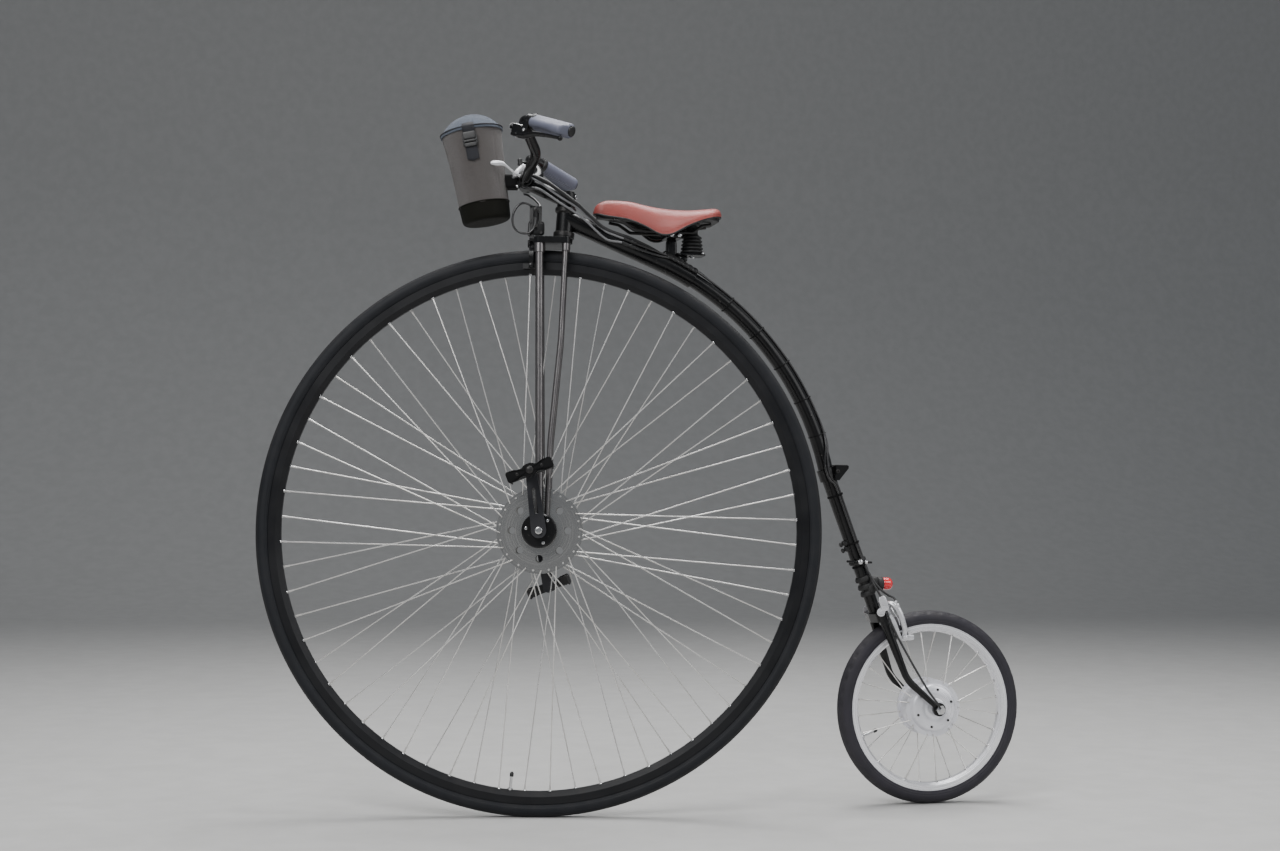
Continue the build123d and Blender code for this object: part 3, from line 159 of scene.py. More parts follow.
@dataclass
class Patch:
    """A grid of points that becomes quads.

    Attributes:
        points: rows by columns by 3, in drawn millimetres.
        around: columns close into a ring.
        along: rows close into a ring.
        size: the surface's length across the columns and along the rows, in metres, for its UV map.
    """

    points: np.ndarray
    around: bool = True
    along: bool = False
    size: tuple[float, float] = (1.0, 1.0)

    def quads(self) -> tuple[np.ndarray, np.ndarray]:
        """The cells' corner numbers and their UV places.

        Returns:
            Faces (cells by 4) and UV (cells by 4 by 2); a cell that closes a ring keeps rising UV.
        """
        rows, columns = self.points.shape[:2]
        r = np.arange(rows if self.along else rows - 1)
        c = np.arange(columns if self.around else columns - 1)
        r, c = (a.ravel() for a in np.meshgrid(r, c, indexing="ij"))
        step_r = np.stack([r, r, r + 1, r + 1], axis=1)
        step_c = np.stack([c, c + 1, c + 1, c], axis=1)
        faces = (step_r % rows) * columns + step_c % columns
        span_r = rows if self.along else max(rows - 1, 1)
        span_c = columns if self.around else max(columns - 1, 1)
        uv = np.stack([step_c / span_c * self.size[0], step_r / span_r * self.size[1]], axis=2)
        return faces, uv


def make_piece(name: str, patches: list[Patch], body: Body, finish: "Finish",
               sharp: float = 40.0, replaces: tuple[str, ...] = (),
               crossing: "np.ndarray | None" = None) -> bpy.types.Object:
    """Joins patches into one closed mesh, dresses it and lets it ride on its body, unless it crosses the
    head.

    Args:
        name: the piece's name.
        patches: its surfaces in drawn millimetres.
        body: the body that it rides on.
        finish: its material.
        sharp: the angle in degrees above which an edge stays crisp.
        replaces: the frame nodes that it stands for.
        crossing: for a cable over the head, two points; when they are given, the piece is fixed where it
            stands and rides on no body.

    Returns:
        The finished object, at the origin.
    """
    points, faces, uvs, start = [], [], [], 0
    for patch in patches:
        cells, uv = patch.quads()
        flat = placed(patch.points, body).reshape(-1, 3)
        points.append(flat)
        faces.append(cells + start)
        uvs.append(uv)
        start += len(flat)
    mesh = bpy.data.meshes.new(name)
    mesh.from_pydata(np.concatenate(points).tolist(), [], np.concatenate(faces).tolist())
    layer = mesh.uv_layers.new(name="UVMap")
    layer.data.foreach_set("uv", np.concatenate(uvs).reshape(-1).astype(np.float32))
    tidy_mesh(mesh)
    smooth_mesh(mesh, sharp)
    return dress_piece(name, mesh, body, finish, replaces, crossing)


def tidy_mesh(mesh: bpy.types.Mesh) -> None:
    """Merges doubles, drops collapsed cells and points the faces outwards."""
    work = bmesh.new()
    work.from_mesh(mesh)
    bmesh.ops.remove_doubles(work, verts=work.verts, dist=MERGED)
    bmesh.ops.dissolve_degenerate(work, edges=work.edges, dist=COLLAPSED)
    bmesh.ops.recalc_face_normals(work, faces=work.faces)
    work.to_mesh(mesh)
    work.free()


def smooth_mesh(mesh: bpy.types.Mesh, sharp: float) -> None:
    """Shades a mesh smoothly, but for edges that turn by more than an angle in degrees."""
    mesh.polygons.foreach_set("use_smooth", np.ones(len(mesh.polygons), bool))
    mesh.set_sharp_from_angle(angle=math.radians(sharp))
    mesh.update()


def add_object(name: str, data: bpy.types.ID) -> bpy.types.Object:
    """Makes an object of a mesh, a light or a camera and links it to the scene."""
    made = bpy.data.objects.new(name, data)
    bpy.context.scene.collection.objects.link(made)
    return made


def dress_piece(name: str, mesh: bpy.types.Mesh, body: Body, finish: "Finish",
                replaces: tuple[str, ...], crossing: "np.ndarray | None" = None) -> bpy.types.Object:
    """Makes the object of a mesh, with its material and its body."""
    piece = add_object(name, mesh)
    finish.cover(mesh)
    if crossing is None:
        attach(piece, body.value)
    else:
        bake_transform(piece)
    if replaces:
        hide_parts(*replaces)
    return piece


def side_frame(line: np.ndarray, guide: np.ndarray) -> tuple[np.ndarray, np.ndarray]:
    """Two unit directions square to a line: the guide less its share along it, and their cross product."""
    line = unit(line)
    guide = np.broadcast_to(guide, line.shape)
    first = unit(guide - np.sum(guide * line, axis=-1, keepdims=True) * line)
    return first, np.cross(line, first)


def hexagon(angle: np.ndarray) -> np.ndarray:
    """A hexagon's radius over its inner circle's: 1 / cos of the angle from the nearest flat's middle."""
    return 1 / np.cos((angle + math.pi / 6) % (math.pi / 3) - math.pi / 6)


def turned(profile: list[tuple[float, ...]], centre: "Point | np.ndarray", line: np.ndarray,
           segments: int = 40) -> Patch:
    """A turned shape: each profile point (radius, along) goes once round the line.

    Args:
        profile: rows of (radius, along, hex); a third value above 0 makes that row a hexagon.
        centre: the point where along is 0.
        line: the axis.
        segments: points round the axis.

    Returns:
        The closed surface.
    """
    rows = np.array([(*row, 0.0)[:3] for row in profile], float)
    line = unit(line)
    first, second = side_frame(line, Z if abs(line[2]) < 0.9 else X)
    angle = once_round(segments)
    radius = rows[:, :1] * np.where(rows[:, 2:] > 0, hexagon(angle)[None, :], 1.0)
    ring = np.cos(angle)[:, None] * first + np.sin(angle)[:, None] * second
    return Patch(centre + rows[:, 1, None, None] * line + radius[..., None] * ring)


NOSE = np.array([0.0, 0.55, 0.85])
NOSE_LENGTH = 0.35


def tube(path: "list[Point] | np.ndarray", radius: "float | np.ndarray", sides: int = 12,
         guide: np.ndarray = Y, flat: float = 1.0, closed: bool = False, steps: int = 0) -> Patch:
    """A round or flattened tube: a ring carried along a path, square to it, with rounded ends.

    Args:
        path: points along the middle.
        radius: one radius, or one for each point.
        sides: points round the ring.
        guide: the direction that the ring's first axis keeps near.
        flat: the second axis over the first.
        closed: the path is a ring.
        steps: samples between two points of a smooth line through the path, 0 for the path itself.

    Returns:
        The closed surface.
    """
    path = smooth_line(path, steps) if steps else np.asarray(path, float)
    radius = np.broadcast_to(np.asarray(radius, float), (len(path),)).copy()
    if closed:
        line = np.roll(path, -1, axis=0) - np.roll(path, 1, axis=0)
    else:
        line = np.gradient(path, axis=0)
        start = path[0] - unit(line[0]) * radius[0] * NOSE_LENGTH * (1 - NOSE[:, None])
        end = path[-1] + unit(line[-1]) * radius[-1] * NOSE_LENGTH * (1 - NOSE[::-1, None])
        path = np.concatenate([start, path, end])
        line = np.concatenate([np.repeat(line[:1], 3, 0), line, np.repeat(line[-1:], 3, 0)])
        radius = np.concatenate([NOSE * radius[0], radius, NOSE[::-1] * radius[-1]])
    first, second = side_frame(line, guide)
    angle = once_round(sides)[None, :, None]
    ring = np.cos(angle) * first[:, None] + flat * np.sin(angle) * second[:, None]
    length = np.linalg.norm(np.diff(path, axis=0), axis=1).sum() / METRE
    return Patch(path[:, None] + radius[:, None, None] * ring, along=closed,
                 size=(2 * math.pi * float(radius.max()) / METRE, length))


def smooth_line(points: "list[tuple[float, ...]] | np.ndarray", steps: int) -> np.ndarray:
    """A smooth line through points, by the cubic rule of Catmull and Rom between each pair.

    Args:
        points: the points to pass through, of any dimension.
        steps: samples between two points.

    Returns:
        The samples in order.
    """
    p = np.asarray(points, float)
    wide = np.concatenate([2 * p[:1] - p[1:2], p, 2 * p[-1:] - p[-2:-1]])
    a, b, c, d = (k[:, None] for k in (wide[:-3], wide[1:-2], wide[2:-1], wide[3:]))
    t = np.linspace(0, 1, steps, endpoint=False)[None, :, None]
    line = 0.5 * (2 * b + (c - a) * t + (2 * a - 5 * b + 4 * c - d) * t ** 2
                  + (3 * b - a - 3 * c + d) * t ** 3)
    return np.concatenate([line.reshape(-1, p.shape[1]), p[-1:]])


def curve_of(points: list[tuple[float, float]], at: np.ndarray) -> np.ndarray:
    """A smooth height over a length: the smooth line through the points, read at the given places."""
    line = smooth_line(points, 24)
    return np.interp(at, line[:, 0], line[:, 1])


def pillow(centre: "Point | np.ndarray", half: Point, power: float = 0.35, rows: int = 13, columns: int = 24,
           axes: np.ndarray = SQUARE) -> Patch:
    """A rounded block: cos and sin of the two angles are raised to a power, so the ball grows corners.

    Args:
        centre: its middle.
        half: its half sizes along its axes.
        power: near 0 for a sharp block, 1 for a ball.
        rows: points from pole to pole.
        columns: points round.
        axes: its three unit directions.

    Returns:
        The closed surface.
    """
    def bent(value: np.ndarray) -> np.ndarray:
        return np.sign(value) * np.abs(value) ** power

    a = np.linspace(-math.pi / 2, math.pi / 2, rows)[:, None]
    b = once_round(columns)[None, :]
    out = bent(np.cos(a))
    local = np.stack([half[0] * out * bent(np.cos(b)), half[1] * out * bent(np.sin(b)),
                      half[2] * bent(np.sin(a)) * np.ones_like(b)], axis=2)
    return Patch(centre + local @ axes)


def plate(outline: np.ndarray, origin: np.ndarray, across: np.ndarray, up: np.ndarray, thick: float,
          edge: float) -> Patch:
    """A flat plate with a rounded rim, from its middle out over the rim and back below.

    Args:
        outline: points (across, up) of a shape that its middle sees whole.
        origin: where (0, 0) is, in the plate's middle plane.
        across: the first unit direction.
        up: the second unit direction.
        thick: the plate's thickness.
        edge: the rim's rounding.

    Returns:
        The closed surface.
    """
    middle = outline.mean(axis=0)
    reach = np.linalg.norm(outline - middle, axis=1, keepdims=True)
    rows = [(np.broadcast_to(middle, outline.shape), thick / 2)]
    for share, drop in ((1.0, 0.0), (0.3, 0.3), (0.0, 1.0)):
        rows.append((middle + (outline - middle) * (1 - share * edge / reach), thick / 2 - drop * edge))
    rows += [(ring, -height) for ring, height in reversed(rows)]
    normal = np.cross(across, up)
    return Patch(np.stack([origin + ring[:, :1] * across + ring[:, 1:] * up + height * normal
                           for ring, height in rows]))


def bolt(centre: "Point | np.ndarray", line: np.ndarray, radius: float, height: float,
         hexed: bool = False) -> Patch:
    """A round bolt head with a hexagonal socket, or a hexagonal nut with a round end."""
    key = radius * 0.5
    side = 1.0 if hexed else 0.0
    deep = height - height * 0.6
    if hexed:
        middle = [(0, height), (key, height), (key * 1.05, height * 0.98)]
    else:
        middle = [(0, deep), (key, deep, 1), (key, height, 1)]
    return turned([*middle, (radius * 0.86, height), (radius, height * 0.85, side), (radius, 0, side),
                   (0, 0)], centre, line, 24)


# Finishes


CLOUD_SCALE = 14.0
GRIT_SCALE = 260.0
DUST_SCALE = 40.0
CHIP_SCALE = 90.0
TYRE_DUST_SCALE = 9.0
DUST_COLOUR = (0.35, 0.31, 0.26, 1.0)
BARE_COLOUR = (0.45, 0.43, 0.41, 1.0)
ROAD_DUST = (0.055, 0.052, 0.05, 1.0)
STREAK_STRETCH = (8.0, 900.0, 900.0)
COAT_ROUGHNESS = 0.12
NUMBER, COLOUR, VECTOR = "NodeSocketFloat", "NodeSocketColor", "NodeSocketVector"
NUMBER_RULES = ("LENGTH", "DOT_PRODUCT")


class Wiring:
    """Places nodes in a tree and links them."""

    def __init__(self, tree: bpy.types.NodeTree) -> None:
        """Keeps the tree."""
        self.tree = tree

    def put(self, kind: str, values: "dict | None" = None, **settings: object) -> bpy.types.Node:
        """Adds a node.

        Args:
            kind: the node's class name.
            values: socket name or number to a value or to another node's output.
            **settings: the node's own properties.

        Returns:
            The node.
        """
        node = self.tree.nodes.new(kind)
        for key, value in settings.items():
            setattr(node, key, value)
        for key, value in (values or {}).items():
            if isinstance(value, Socket):
                self.tree.links.new(value, node.inputs[key])
            else:
                node.inputs[key].default_value = value
        return node

    def maths(self, rule: str, a: object, b: object = 0.0, clamp: bool = False) -> Socket:
        """One sum of two numbers or outputs."""
        return self.put("ShaderNodeMath", {0: a, 1: b}, operation=rule, use_clamp=clamp).outputs[0]

    def times(self, a: object, b: object, clamp: bool = False) -> Socket:
        """The product of two numbers or outputs."""
        return self.maths("MULTIPLY", a, b, clamp)

    def vector(self, rule: str, a: object, b: object = 0.0) -> Socket:
        """One step on a vector; b is a number where the rule scales, and the result one where it measures."""
        values = {0: a, 3: b} if rule == "SCALE" else {0: a} if rule == "LENGTH" else {0: a, 1: b}
        return self.put("ShaderNodeVectorMath", values, operation=rule).outputs[int(rule in NUMBER_RULES)]

    def mix(self, share: object, a: object, b: object) -> Socket:
        """A colour between a and b."""
        return self.put("ShaderNodeMix", {0: share, 6: a, 7: b}, data_type="RGBA").outputs[2]

    def ramp(self, value: object, low: float, high: float, to_low: float = 0.0,
             to_high: float = 1.0) -> Socket:
        """Stretches a number from one range to another, and holds it at the ends."""
        return self.put("ShaderNodeMapRange", {0: value, 1: low, 2: high, 3: to_low, 4: to_high}).outputs[0]

    def ridge(self, value: object) -> Socket:
        """A rounded ridge for each whole number: |sin(pi value)|."""
        return self.maths("ABSOLUTE", self.maths("SINE", self.times(value, math.pi)))

    def noise(self, place: Socket, scale: float, detail: float = 3.0) -> Socket:
        """A cloudy number from 0 to 1."""
        return self.put("ShaderNodeTexNoise", {"Vector": place, "Scale": scale, "Detail": detail}).outputs[0]

    def cells(self, place: Socket, scale: object) -> Socket:
        """The distance to the nearest border between scattered cells."""
        return self.put("ShaderNodeTexVoronoi", {"Vector": place, "Scale": scale},
                        feature="DISTANCE_TO_EDGE").outputs[0]

    def place(self, system: str = "Object") -> Socket:
        """The place on the object, or on its UV map."""
        return self.put("ShaderNodeTexCoord").outputs[system]

    def split(self, vector: Socket) -> list[Socket]:
        """A vector's three numbers."""
        return list(self.put("ShaderNodeSeparateXYZ", {0: vector}).outputs)

    def joined(self, x: object, y: object, z: object = 0.0) -> Socket:
        """A vector of three numbers."""
        return self.put("ShaderNodeCombineXYZ", {0: x, 1: y, 2: z}).outputs[0]

    def group(self, tree: bpy.types.NodeTree, values: dict) -> bpy.types.NodeOutputs:
        """The outputs of a shader group with these values."""
        return self.put("ShaderNodeGroup", values, node_tree=tree).outputs


def start_group(name: str, inputs: dict[str, tuple[str, object]], outputs: dict[str, str]
                ) -> tuple[Wiring, bpy.types.NodeOutputs]:
    """Starts a shader group with named sockets.

    Args:
        name: the group's name.
        inputs: socket name to its type and default.
        outputs: socket name to its type.

    Returns:
        The wiring of the new group, and what its inputs give.
    """
    tree = bpy.data.node_groups.new(name, "ShaderNodeTree")
    for label, (kind, default) in inputs.items():
        tree.interface.new_socket(name=label, in_out="INPUT", socket_type=kind).default_value = default
    for label, kind in outputs.items():
        tree.interface.new_socket(name=label, in_out="OUTPUT", socket_type=kind)
    wires = Wiring(tree)
    return wires, wires.put("NodeGroupInput").outputs


@cache
def worn_group() -> bpy.types.NodeTree:
    """Colour that varies in clouds, with dust where the surface looks up and small worn spots.

    Returns:
        The group: Color, Roughness and Height.
    """
    w, given = start_group("worn", {"Color": (COLOUR, (0.5, 0.5, 0.5, 1)),
                                    "Second": (COLOUR, (0.4, 0.4, 0.4, 1)), "Dust": (NUMBER, 0.2),
                                    "Chips": (NUMBER, 0.0), "Roughness": (NUMBER, 0.4)},
                           {"Color": COLOUR, "Roughness": NUMBER, "Height": NUMBER})
    spot = w.place()
    clouds = w.noise(spot, CLOUD_SCALE, 5.0)
    up = w.split(w.put("ShaderNodeNewGeometry").outputs["Normal"])[2]
    lies = w.times(w.ramp(up, 0.1, 1.0, 0.25, 1.0), w.ramp(w.noise(spot, DUST_SCALE, 6.0), 0.38, 0.72))
    dust = w.times(lies, given["Dust"], True)
    chips = w.times(w.ramp(w.noise(spot, CHIP_SCALE, 4.0), 0.70, 0.73), given["Chips"], True)
    colour = w.mix(w.ramp(clouds, 0.35, 0.65), given["Color"], given["Second"])
    colour = w.mix(chips, w.mix(dust, colour, DUST_COLOUR), BARE_COLOUR)
    rough = w.maths("ADD", given["Roughness"], w.ramp(clouds, 0.3, 0.7, -0.06, 0.08))
    rough = w.maths("ADD", rough, w.times(dust, 0.45), True)
    height = w.maths("SUBTRACT", w.noise(spot, GRIT_SCALE, 2.0), w.times(chips, 2.0))
    w.put("NodeGroupOutput", {"Color": colour, "Roughness": rough, "Height": height})
    return w.tree


@cache
def streak_group() -> bpy.types.NodeTree:
    """Fine drawn streaks: noise that is stretched a hundredfold along its vector's X.

    Returns:
        The group: Value.
    """
    w, given = start_group("streaks", {"Vector": (VECTOR, (0, 0, 0))}, {"Value": NUMBER})
    w.put("NodeGroupOutput", {"Value": w.noise(w.vector("MULTIPLY", given["Vector"], STREAK_STRETCH), 1.0)})
    return w.tree


@cache
def grain_group() -> bpy.types.NodeTree:
    """Leather grain: cells of two sizes, whose borders are creases.

    Returns:
        The group: Height and Crease.
    """
    w, given = start_group("grain", {"Scale": (NUMBER, 500.0)}, {"Height": NUMBER, "Crease": NUMBER})
    drift = w.put("ShaderNodeTexNoise", {"Vector": w.place(), "Scale": 90.0}).outputs[1]
    bent = w.vector("ADD", w.place(), w.vector("SCALE", drift, 0.006))
    crease = w.ramp(w.cells(bent, given["Scale"]), 0.0, 0.12)
    small = w.cells(bent, w.times(given["Scale"], 2.3))
    height = w.maths("ADD", crease, w.times(w.ramp(small, 0.0, 0.2), 0.4))
    w.put("NodeGroupOutput", {"Height": height, "Crease": crease})
    return w.tree


@cache
def weave_group() -> bpy.types.NodeTree:
    """A two-over-one twill on the UV map: yarns across and along, each a rounded ridge.

    Returns:
        The group: Height and Yarn, a value that differs from yarn to yarn.
    """
    w, given = start_group("weave", {"Vector": (VECTOR, (0, 0, 0)), "Yarns": (NUMBER, 900.0)},
                           {"Height": NUMBER, "Yarn": NUMBER})
    u, v = (w.times(part, given["Yarns"]) for part in w.split(given["Vector"])[:2])
    whole_u, whole_v = w.maths("FLOOR", u), w.maths("FLOOR", v)
    step = w.maths("ABSOLUTE", w.maths("ADD", whole_u, whole_v))
    over = w.maths("LESS_THAN", w.maths("MODULO", step, 3.0), 1.5)
    height = w.maths("ADD", w.times(over, w.ridge(u)), w.times(w.maths("SUBTRACT", 1.0, over), w.ridge(v)))
    yarn = w.put("ShaderNodeTexWhiteNoise", {"Vector": w.joined(whole_u, whole_v)}, noise_dimensions="2D")
    w.put("NodeGroupOutput", {"Height": height, "Yarn": yarn.outputs[0]})
    return w.tree


@dataclass(frozen=True)
class Finish:
    """A surface: two close colours, dust and chips over them, and how it shines.

    Attributes:
        name: the material's name.
        colour: the main linear colour.
        second: the colour of its clouds.
        roughness: the mean roughness.
        metallic: 1 for bare metal.
        coat: the clear coat's weight.
        dust: how much dust lies on top.
        chips: how much bare metal shows through.
        bump: the height of its fine texture in metres.
        sheen: the cloth's sheen.
        specular: how strongly it shines where it isn't metal.
    """

    name: str
    colour: Point
    second: Point
    roughness: float = 0.4
    metallic: float = 0.0
    coat: float = 0.0
    dust: float = 0.15
    chips: float = 0.0
    bump: float = 0.00003
    sheen: float = 0.0
    specular: float = 0.5

    @cache
    def material(self) -> bpy.types.Material:
        """The material, made once."""
        made = bpy.data.materials.new(self.name)
        made.use_nodes = True
        made.node_tree.nodes.clear()
        wires = Wiring(made.node_tree)
        base = wires.group(worn_group(), {
            "Color": (*self.colour, 1), "Second": (*self.second, 1), "Dust": self.dust, "Chips": self.chips,
            "Roughness": self.roughness})
        colour, rough, height = self.wire(wires, *base)
        bump = wires.put("ShaderNodeBump", {"Height": height, "Distance": self.bump, "Strength": 1.0})
        shader = wires.put("ShaderNodeBsdfPrincipled", {
            "Metallic": self.metallic, "Coat Weight": self.coat, "Coat Roughness": COAT_ROUGHNESS,
            "Sheen Weight": self.sheen, "Specular IOR Level": self.specular, "Base Color": colour,
            "Roughness": rough, "Normal": bump.outputs[0]})
        wires.put("ShaderNodeOutputMaterial", {"Surface": shader.outputs[0]})
        return made

    def wire(self, wires: Wiring, colour: Socket, rough: Socket, height: Socket) -> Sockets:
        """Changes the worn group's colour, roughness and height; a plain finish leaves them as they are."""
        return colour, rough, height

    def cover(self, mesh: bpy.types.Mesh) -> None:
        """Gives a mesh this finish alone."""
        mesh.materials.clear()
        mesh.materials.append(self.material())


@dataclass(frozen=True)
class DrawnMetal(Finish):
    """Metal with fine streaks along one direction, or in rings about a wheel's axle.

    Attributes:
        hub: the axle's middle in metres, or None for straight streaks.
        axle: the axle's direction.
        turn: the streaks' direction as an Euler angle.
    """

    hub: "Point | None" = None
    axle: Point = (0.0, 1.0, 0.0)
    turn: Point = (0.0, 0.0, 0.0)

    def wire(self, wires: Wiring, colour: Socket, rough: Socket, height: Socket) -> Sockets:
        """Adds the streaks to the roughness, and takes them for the height."""
        if self.hub is None:
            values = {"Vector": wires.place(), "Rotation": self.turn}
            along = wires.put("ShaderNodeMapping", values).outputs[0]
        else:
            away = wires.vector("SUBTRACT", wires.place(), self.hub)
            depth = wires.vector("DOT_PRODUCT", away, self.axle)
            ring = wires.vector("SUBTRACT", away, wires.vector("SCALE", self.axle, depth))
            along = wires.joined(0.0, wires.vector("LENGTH", ring), depth)
        streak = wires.group(streak_group(), {"Vector": along})[0]
        return colour, wires.maths("ADD", rough, wires.ramp(streak, 0.3, 0.7, -0.07, 0.09), True), streak


@dataclass(frozen=True)
class Leather(Finish):
    """Smooth leather with fine grain, with shade painted into its creases.

    Attributes:
        grain: cells to a metre.
        creases: the colour of the painted shade in the creases, over the second colour.
    """

    grain: float = 620.0
    creases: Point = (0.5, 0.45, 0.4)

    def wire(self, wires: Wiring, colour: Socket, rough: Socket, height: Socket) -> Sockets:
        """Paints shade into the creases, and takes the grain for the height."""
        grain = wires.group(grain_group(), {"Scale": self.grain})
        deep = (*(a * b for a, b in zip(self.second, self.creases)), 1)
        # painted shade: the grain's creases are darkened towards the crease colour
        dark = wires.mix(wires.ramp(grain["Crease"], 0.0, 1.0, 0.22, 0.0), colour, deep)
        return dark, rough, grain["Height"]


@dataclass(frozen=True)
class Woven(Finish):
    """Woven cloth on the piece's UV map, in metres, with shade painted between its yarns.

    Attributes:
        yarns: yarns to a metre.
        light: the lightest yarn's colour over the main one.
        deep: the painted shade between yarns, as a colour over the main one.
    """

    yarns: float = 950.0
    light: float = 2.2
    deep: float = 0.3

    def wire(self, wires: Wiring, colour: Socket, rough: Socket, height: Socket) -> Sockets:
        """Varies the colour from yarn to yarn, paints shade between the yarns, and takes the weave for the
        height.
        """
        weave = wires.group(weave_group(), {"Vector": wires.place("UV"), "Yarns": self.yarns})
        pale = (*(min(1.0, k * self.light) for k in self.colour), 1)
        dark = (*(k * self.deep for k in self.colour), 1)
        mixed = wires.mix(wires.ramp(weave["Yarn"], 0.0, 1.0, 0.0, 0.55), colour, pale)
        # painted shade: darker towards the deep colour where the weave is low, between the yarns
        mixed = wires.mix(wires.ramp(weave["Height"], 0.0, 0.6, 0.6, 0.0), mixed, dark)
        return mixed, rough, weave["Height"]


@dataclass(frozen=True)
class Tread(Finish):
    """Tyre rubber: fine cuts across the tread, smooth sides.

    Attributes:
        cuts: cuts to a turn of the wheel.
        wide: the UV width of the section, as a share that the tread takes.
        slant: how far the cuts lean, in cuts over the section.
    """

    cuts: float = 480.0
    wide: float = 0.2
    slant: float = 26.0

    def wire(self, wires: Wiring, colour: Socket, rough: Socket, height: Socket) -> Sockets:
        """Cuts the tread by the UV map: v runs round the wheel and u round the section."""
        u, v, _ = wires.split(wires.place("UV"))
        off = wires.maths("ABSOLUTE", wires.maths("SUBTRACT", u, 0.5))
        tread = wires.ramp(off, self.wide * 0.85, self.wide, 1.0, 0.0)
        lean = wires.maths("ADD", wires.times(v, self.cuts), wires.times(off, self.slant))
        cut = wires.times(wires.maths("SUBTRACT", 1.0, wires.ramp(wires.ridge(lean), 0.0, 0.35)), tread)
        dust = wires.ramp(wires.noise(wires.place(), TYRE_DUST_SCALE), 0.3, 0.75, 0.05, 0.3)
        dusty = wires.mix(wires.times(tread, dust), colour, ROAD_DUST)
        return dusty, rough, wires.maths("SUBTRACT", wires.times(height, 0.15), cut)


BIG_AXLE = tuple(turn_about(Y, np.zeros(3), STEER_LINE, REST_TURN))
BIG_MIDDLE = tuple((BIG_HUB - SEAT) / METRE)
SMALL_MIDDLE = tuple((SMALL_HUB - SEAT) / METRE)
ALONG_Z = (0.0, math.pi / 2, 0.0)

BLACK_PAINT = Finish("black_paint", (0.0035, 0.0035, 0.004), (0.006, 0.006, 0.0065), 0.26, coat=0.12,
                     dust=0.02, chips=0.12, bump=0.00001, specular=0.28)
FORK_METAL = DrawnMetal("fork_metal", (0.185, 0.175, 0.175), (0.13, 0.124, 0.126), 0.34, metallic=0.9,
                        dust=0.06, bump=0.000006, turn=ALONG_Z)
ALUMINIUM = DrawnMetal("aluminium", (0.82, 0.82, 0.84), (0.66, 0.66, 0.68), 0.28, metallic=0.62, dust=0.05,
                       bump=0.000006)
DARK_STEEL = Finish("dark_steel", (0.020, 0.020, 0.021), (0.040, 0.038, 0.037), 0.36, metallic=0.6, dust=0.06,
                    bump=0.00002)
SHINY_RIM = DrawnMetal("shiny_rim", (0.90, 0.90, 0.92), (0.82, 0.82, 0.85), 0.24, metallic=0.5, dust=0.03,
                       bump=0.000005, hub=SMALL_MIDDLE)
MOTOR_METAL = DrawnMetal("motor_metal", (0.86, 0.86, 0.90), (0.76, 0.76, 0.80), 0.32, metallic=0.5, dust=0.04,
                         bump=0.000008, hub=SMALL_MIDDLE)
WIRE = Finish("wire", (0.82, 0.81, 0.79), (0.66, 0.64, 0.61), 0.30, metallic=0.7, dust=0.06)
BLACK_RIM = DrawnMetal("black_rim", (0.005, 0.0052, 0.0065), (0.008, 0.0083, 0.0098), 0.40, coat=0.05,
                       dust=0.02, bump=0.000008, specular=0.25, hub=BIG_MIDDLE, axle=BIG_AXLE)
HUB_METAL = DrawnMetal("hub_metal", (0.52, 0.51, 0.49), (0.40, 0.395, 0.385), 0.18, metallic=0.9, dust=0.06,
                       bump=0.000008, hub=BIG_MIDDLE, axle=BIG_AXLE)
BIG_TYRE = Tread("big_tyre", (0.0090, 0.0100, 0.0125), (0.0135, 0.0145, 0.0175), 0.62, dust=0.04, bump=0.0006,
                 specular=0.24)
SMALL_TYRE = Tread("small_tyre", (0.020, 0.019, 0.025), (0.028, 0.026, 0.034), 0.62, dust=0.06, bump=0.0006,
                   specular=0.35, cuts=110.0, wide=0.24)
RED_LEATHER = Leather("red_leather", (0.37, 0.076, 0.064), (0.26, 0.050, 0.042), 0.40, coat=0.08, dust=0.02,
                      bump=0.00009, specular=0.42)
BLACK_PLASTIC = Finish("black_plastic", (0.006, 0.006, 0.007), (0.011, 0.011, 0.011), 0.44, dust=0.04,
                       bump=0.00004)
SOFT_RUBBER = Finish("soft_rubber", (0.008, 0.008, 0.009), (0.014, 0.014, 0.0145), 0.58, dust=0.05,
                     bump=0.00006)
GRIP_RUBBER = Finish("grip_rubber", (0.100, 0.108, 0.150), (0.125, 0.132, 0.175), 0.50, dust=0.06,
                     bump=0.00008)
GREY_CLOTH = Woven("grey_cloth", (0.064, 0.056, 0.054), (0.088, 0.080, 0.076), 0.85, dust=0.05, bump=0.0004,
                   sheen=0.2)
LID_CLOTH = Woven("lid_cloth", (0.072, 0.086, 0.112), (0.100, 0.114, 0.140), 0.85, dust=0.05, bump=0.0004,
                  sheen=0.1, specular=0.25)
DARK_CLOTH = Woven("dark_cloth", (0.0032, 0.0032, 0.0016), (0.006, 0.0055, 0.003), 0.6, dust=0.01,
                   bump=0.0003, specular=0.16, yarns=1200.0)
WEBBING = Woven("webbing", (0.012, 0.013, 0.018), (0.02, 0.02, 0.026), 0.7, dust=0.04, bump=0.0005,
                yarns=700.0)
RED_LENS = Finish("red_lens", (0.80, 0.012, 0.02), (0.62, 0.008, 0.014), 0.12, coat=1.0, dust=0.0,
                  bump=0.00001)
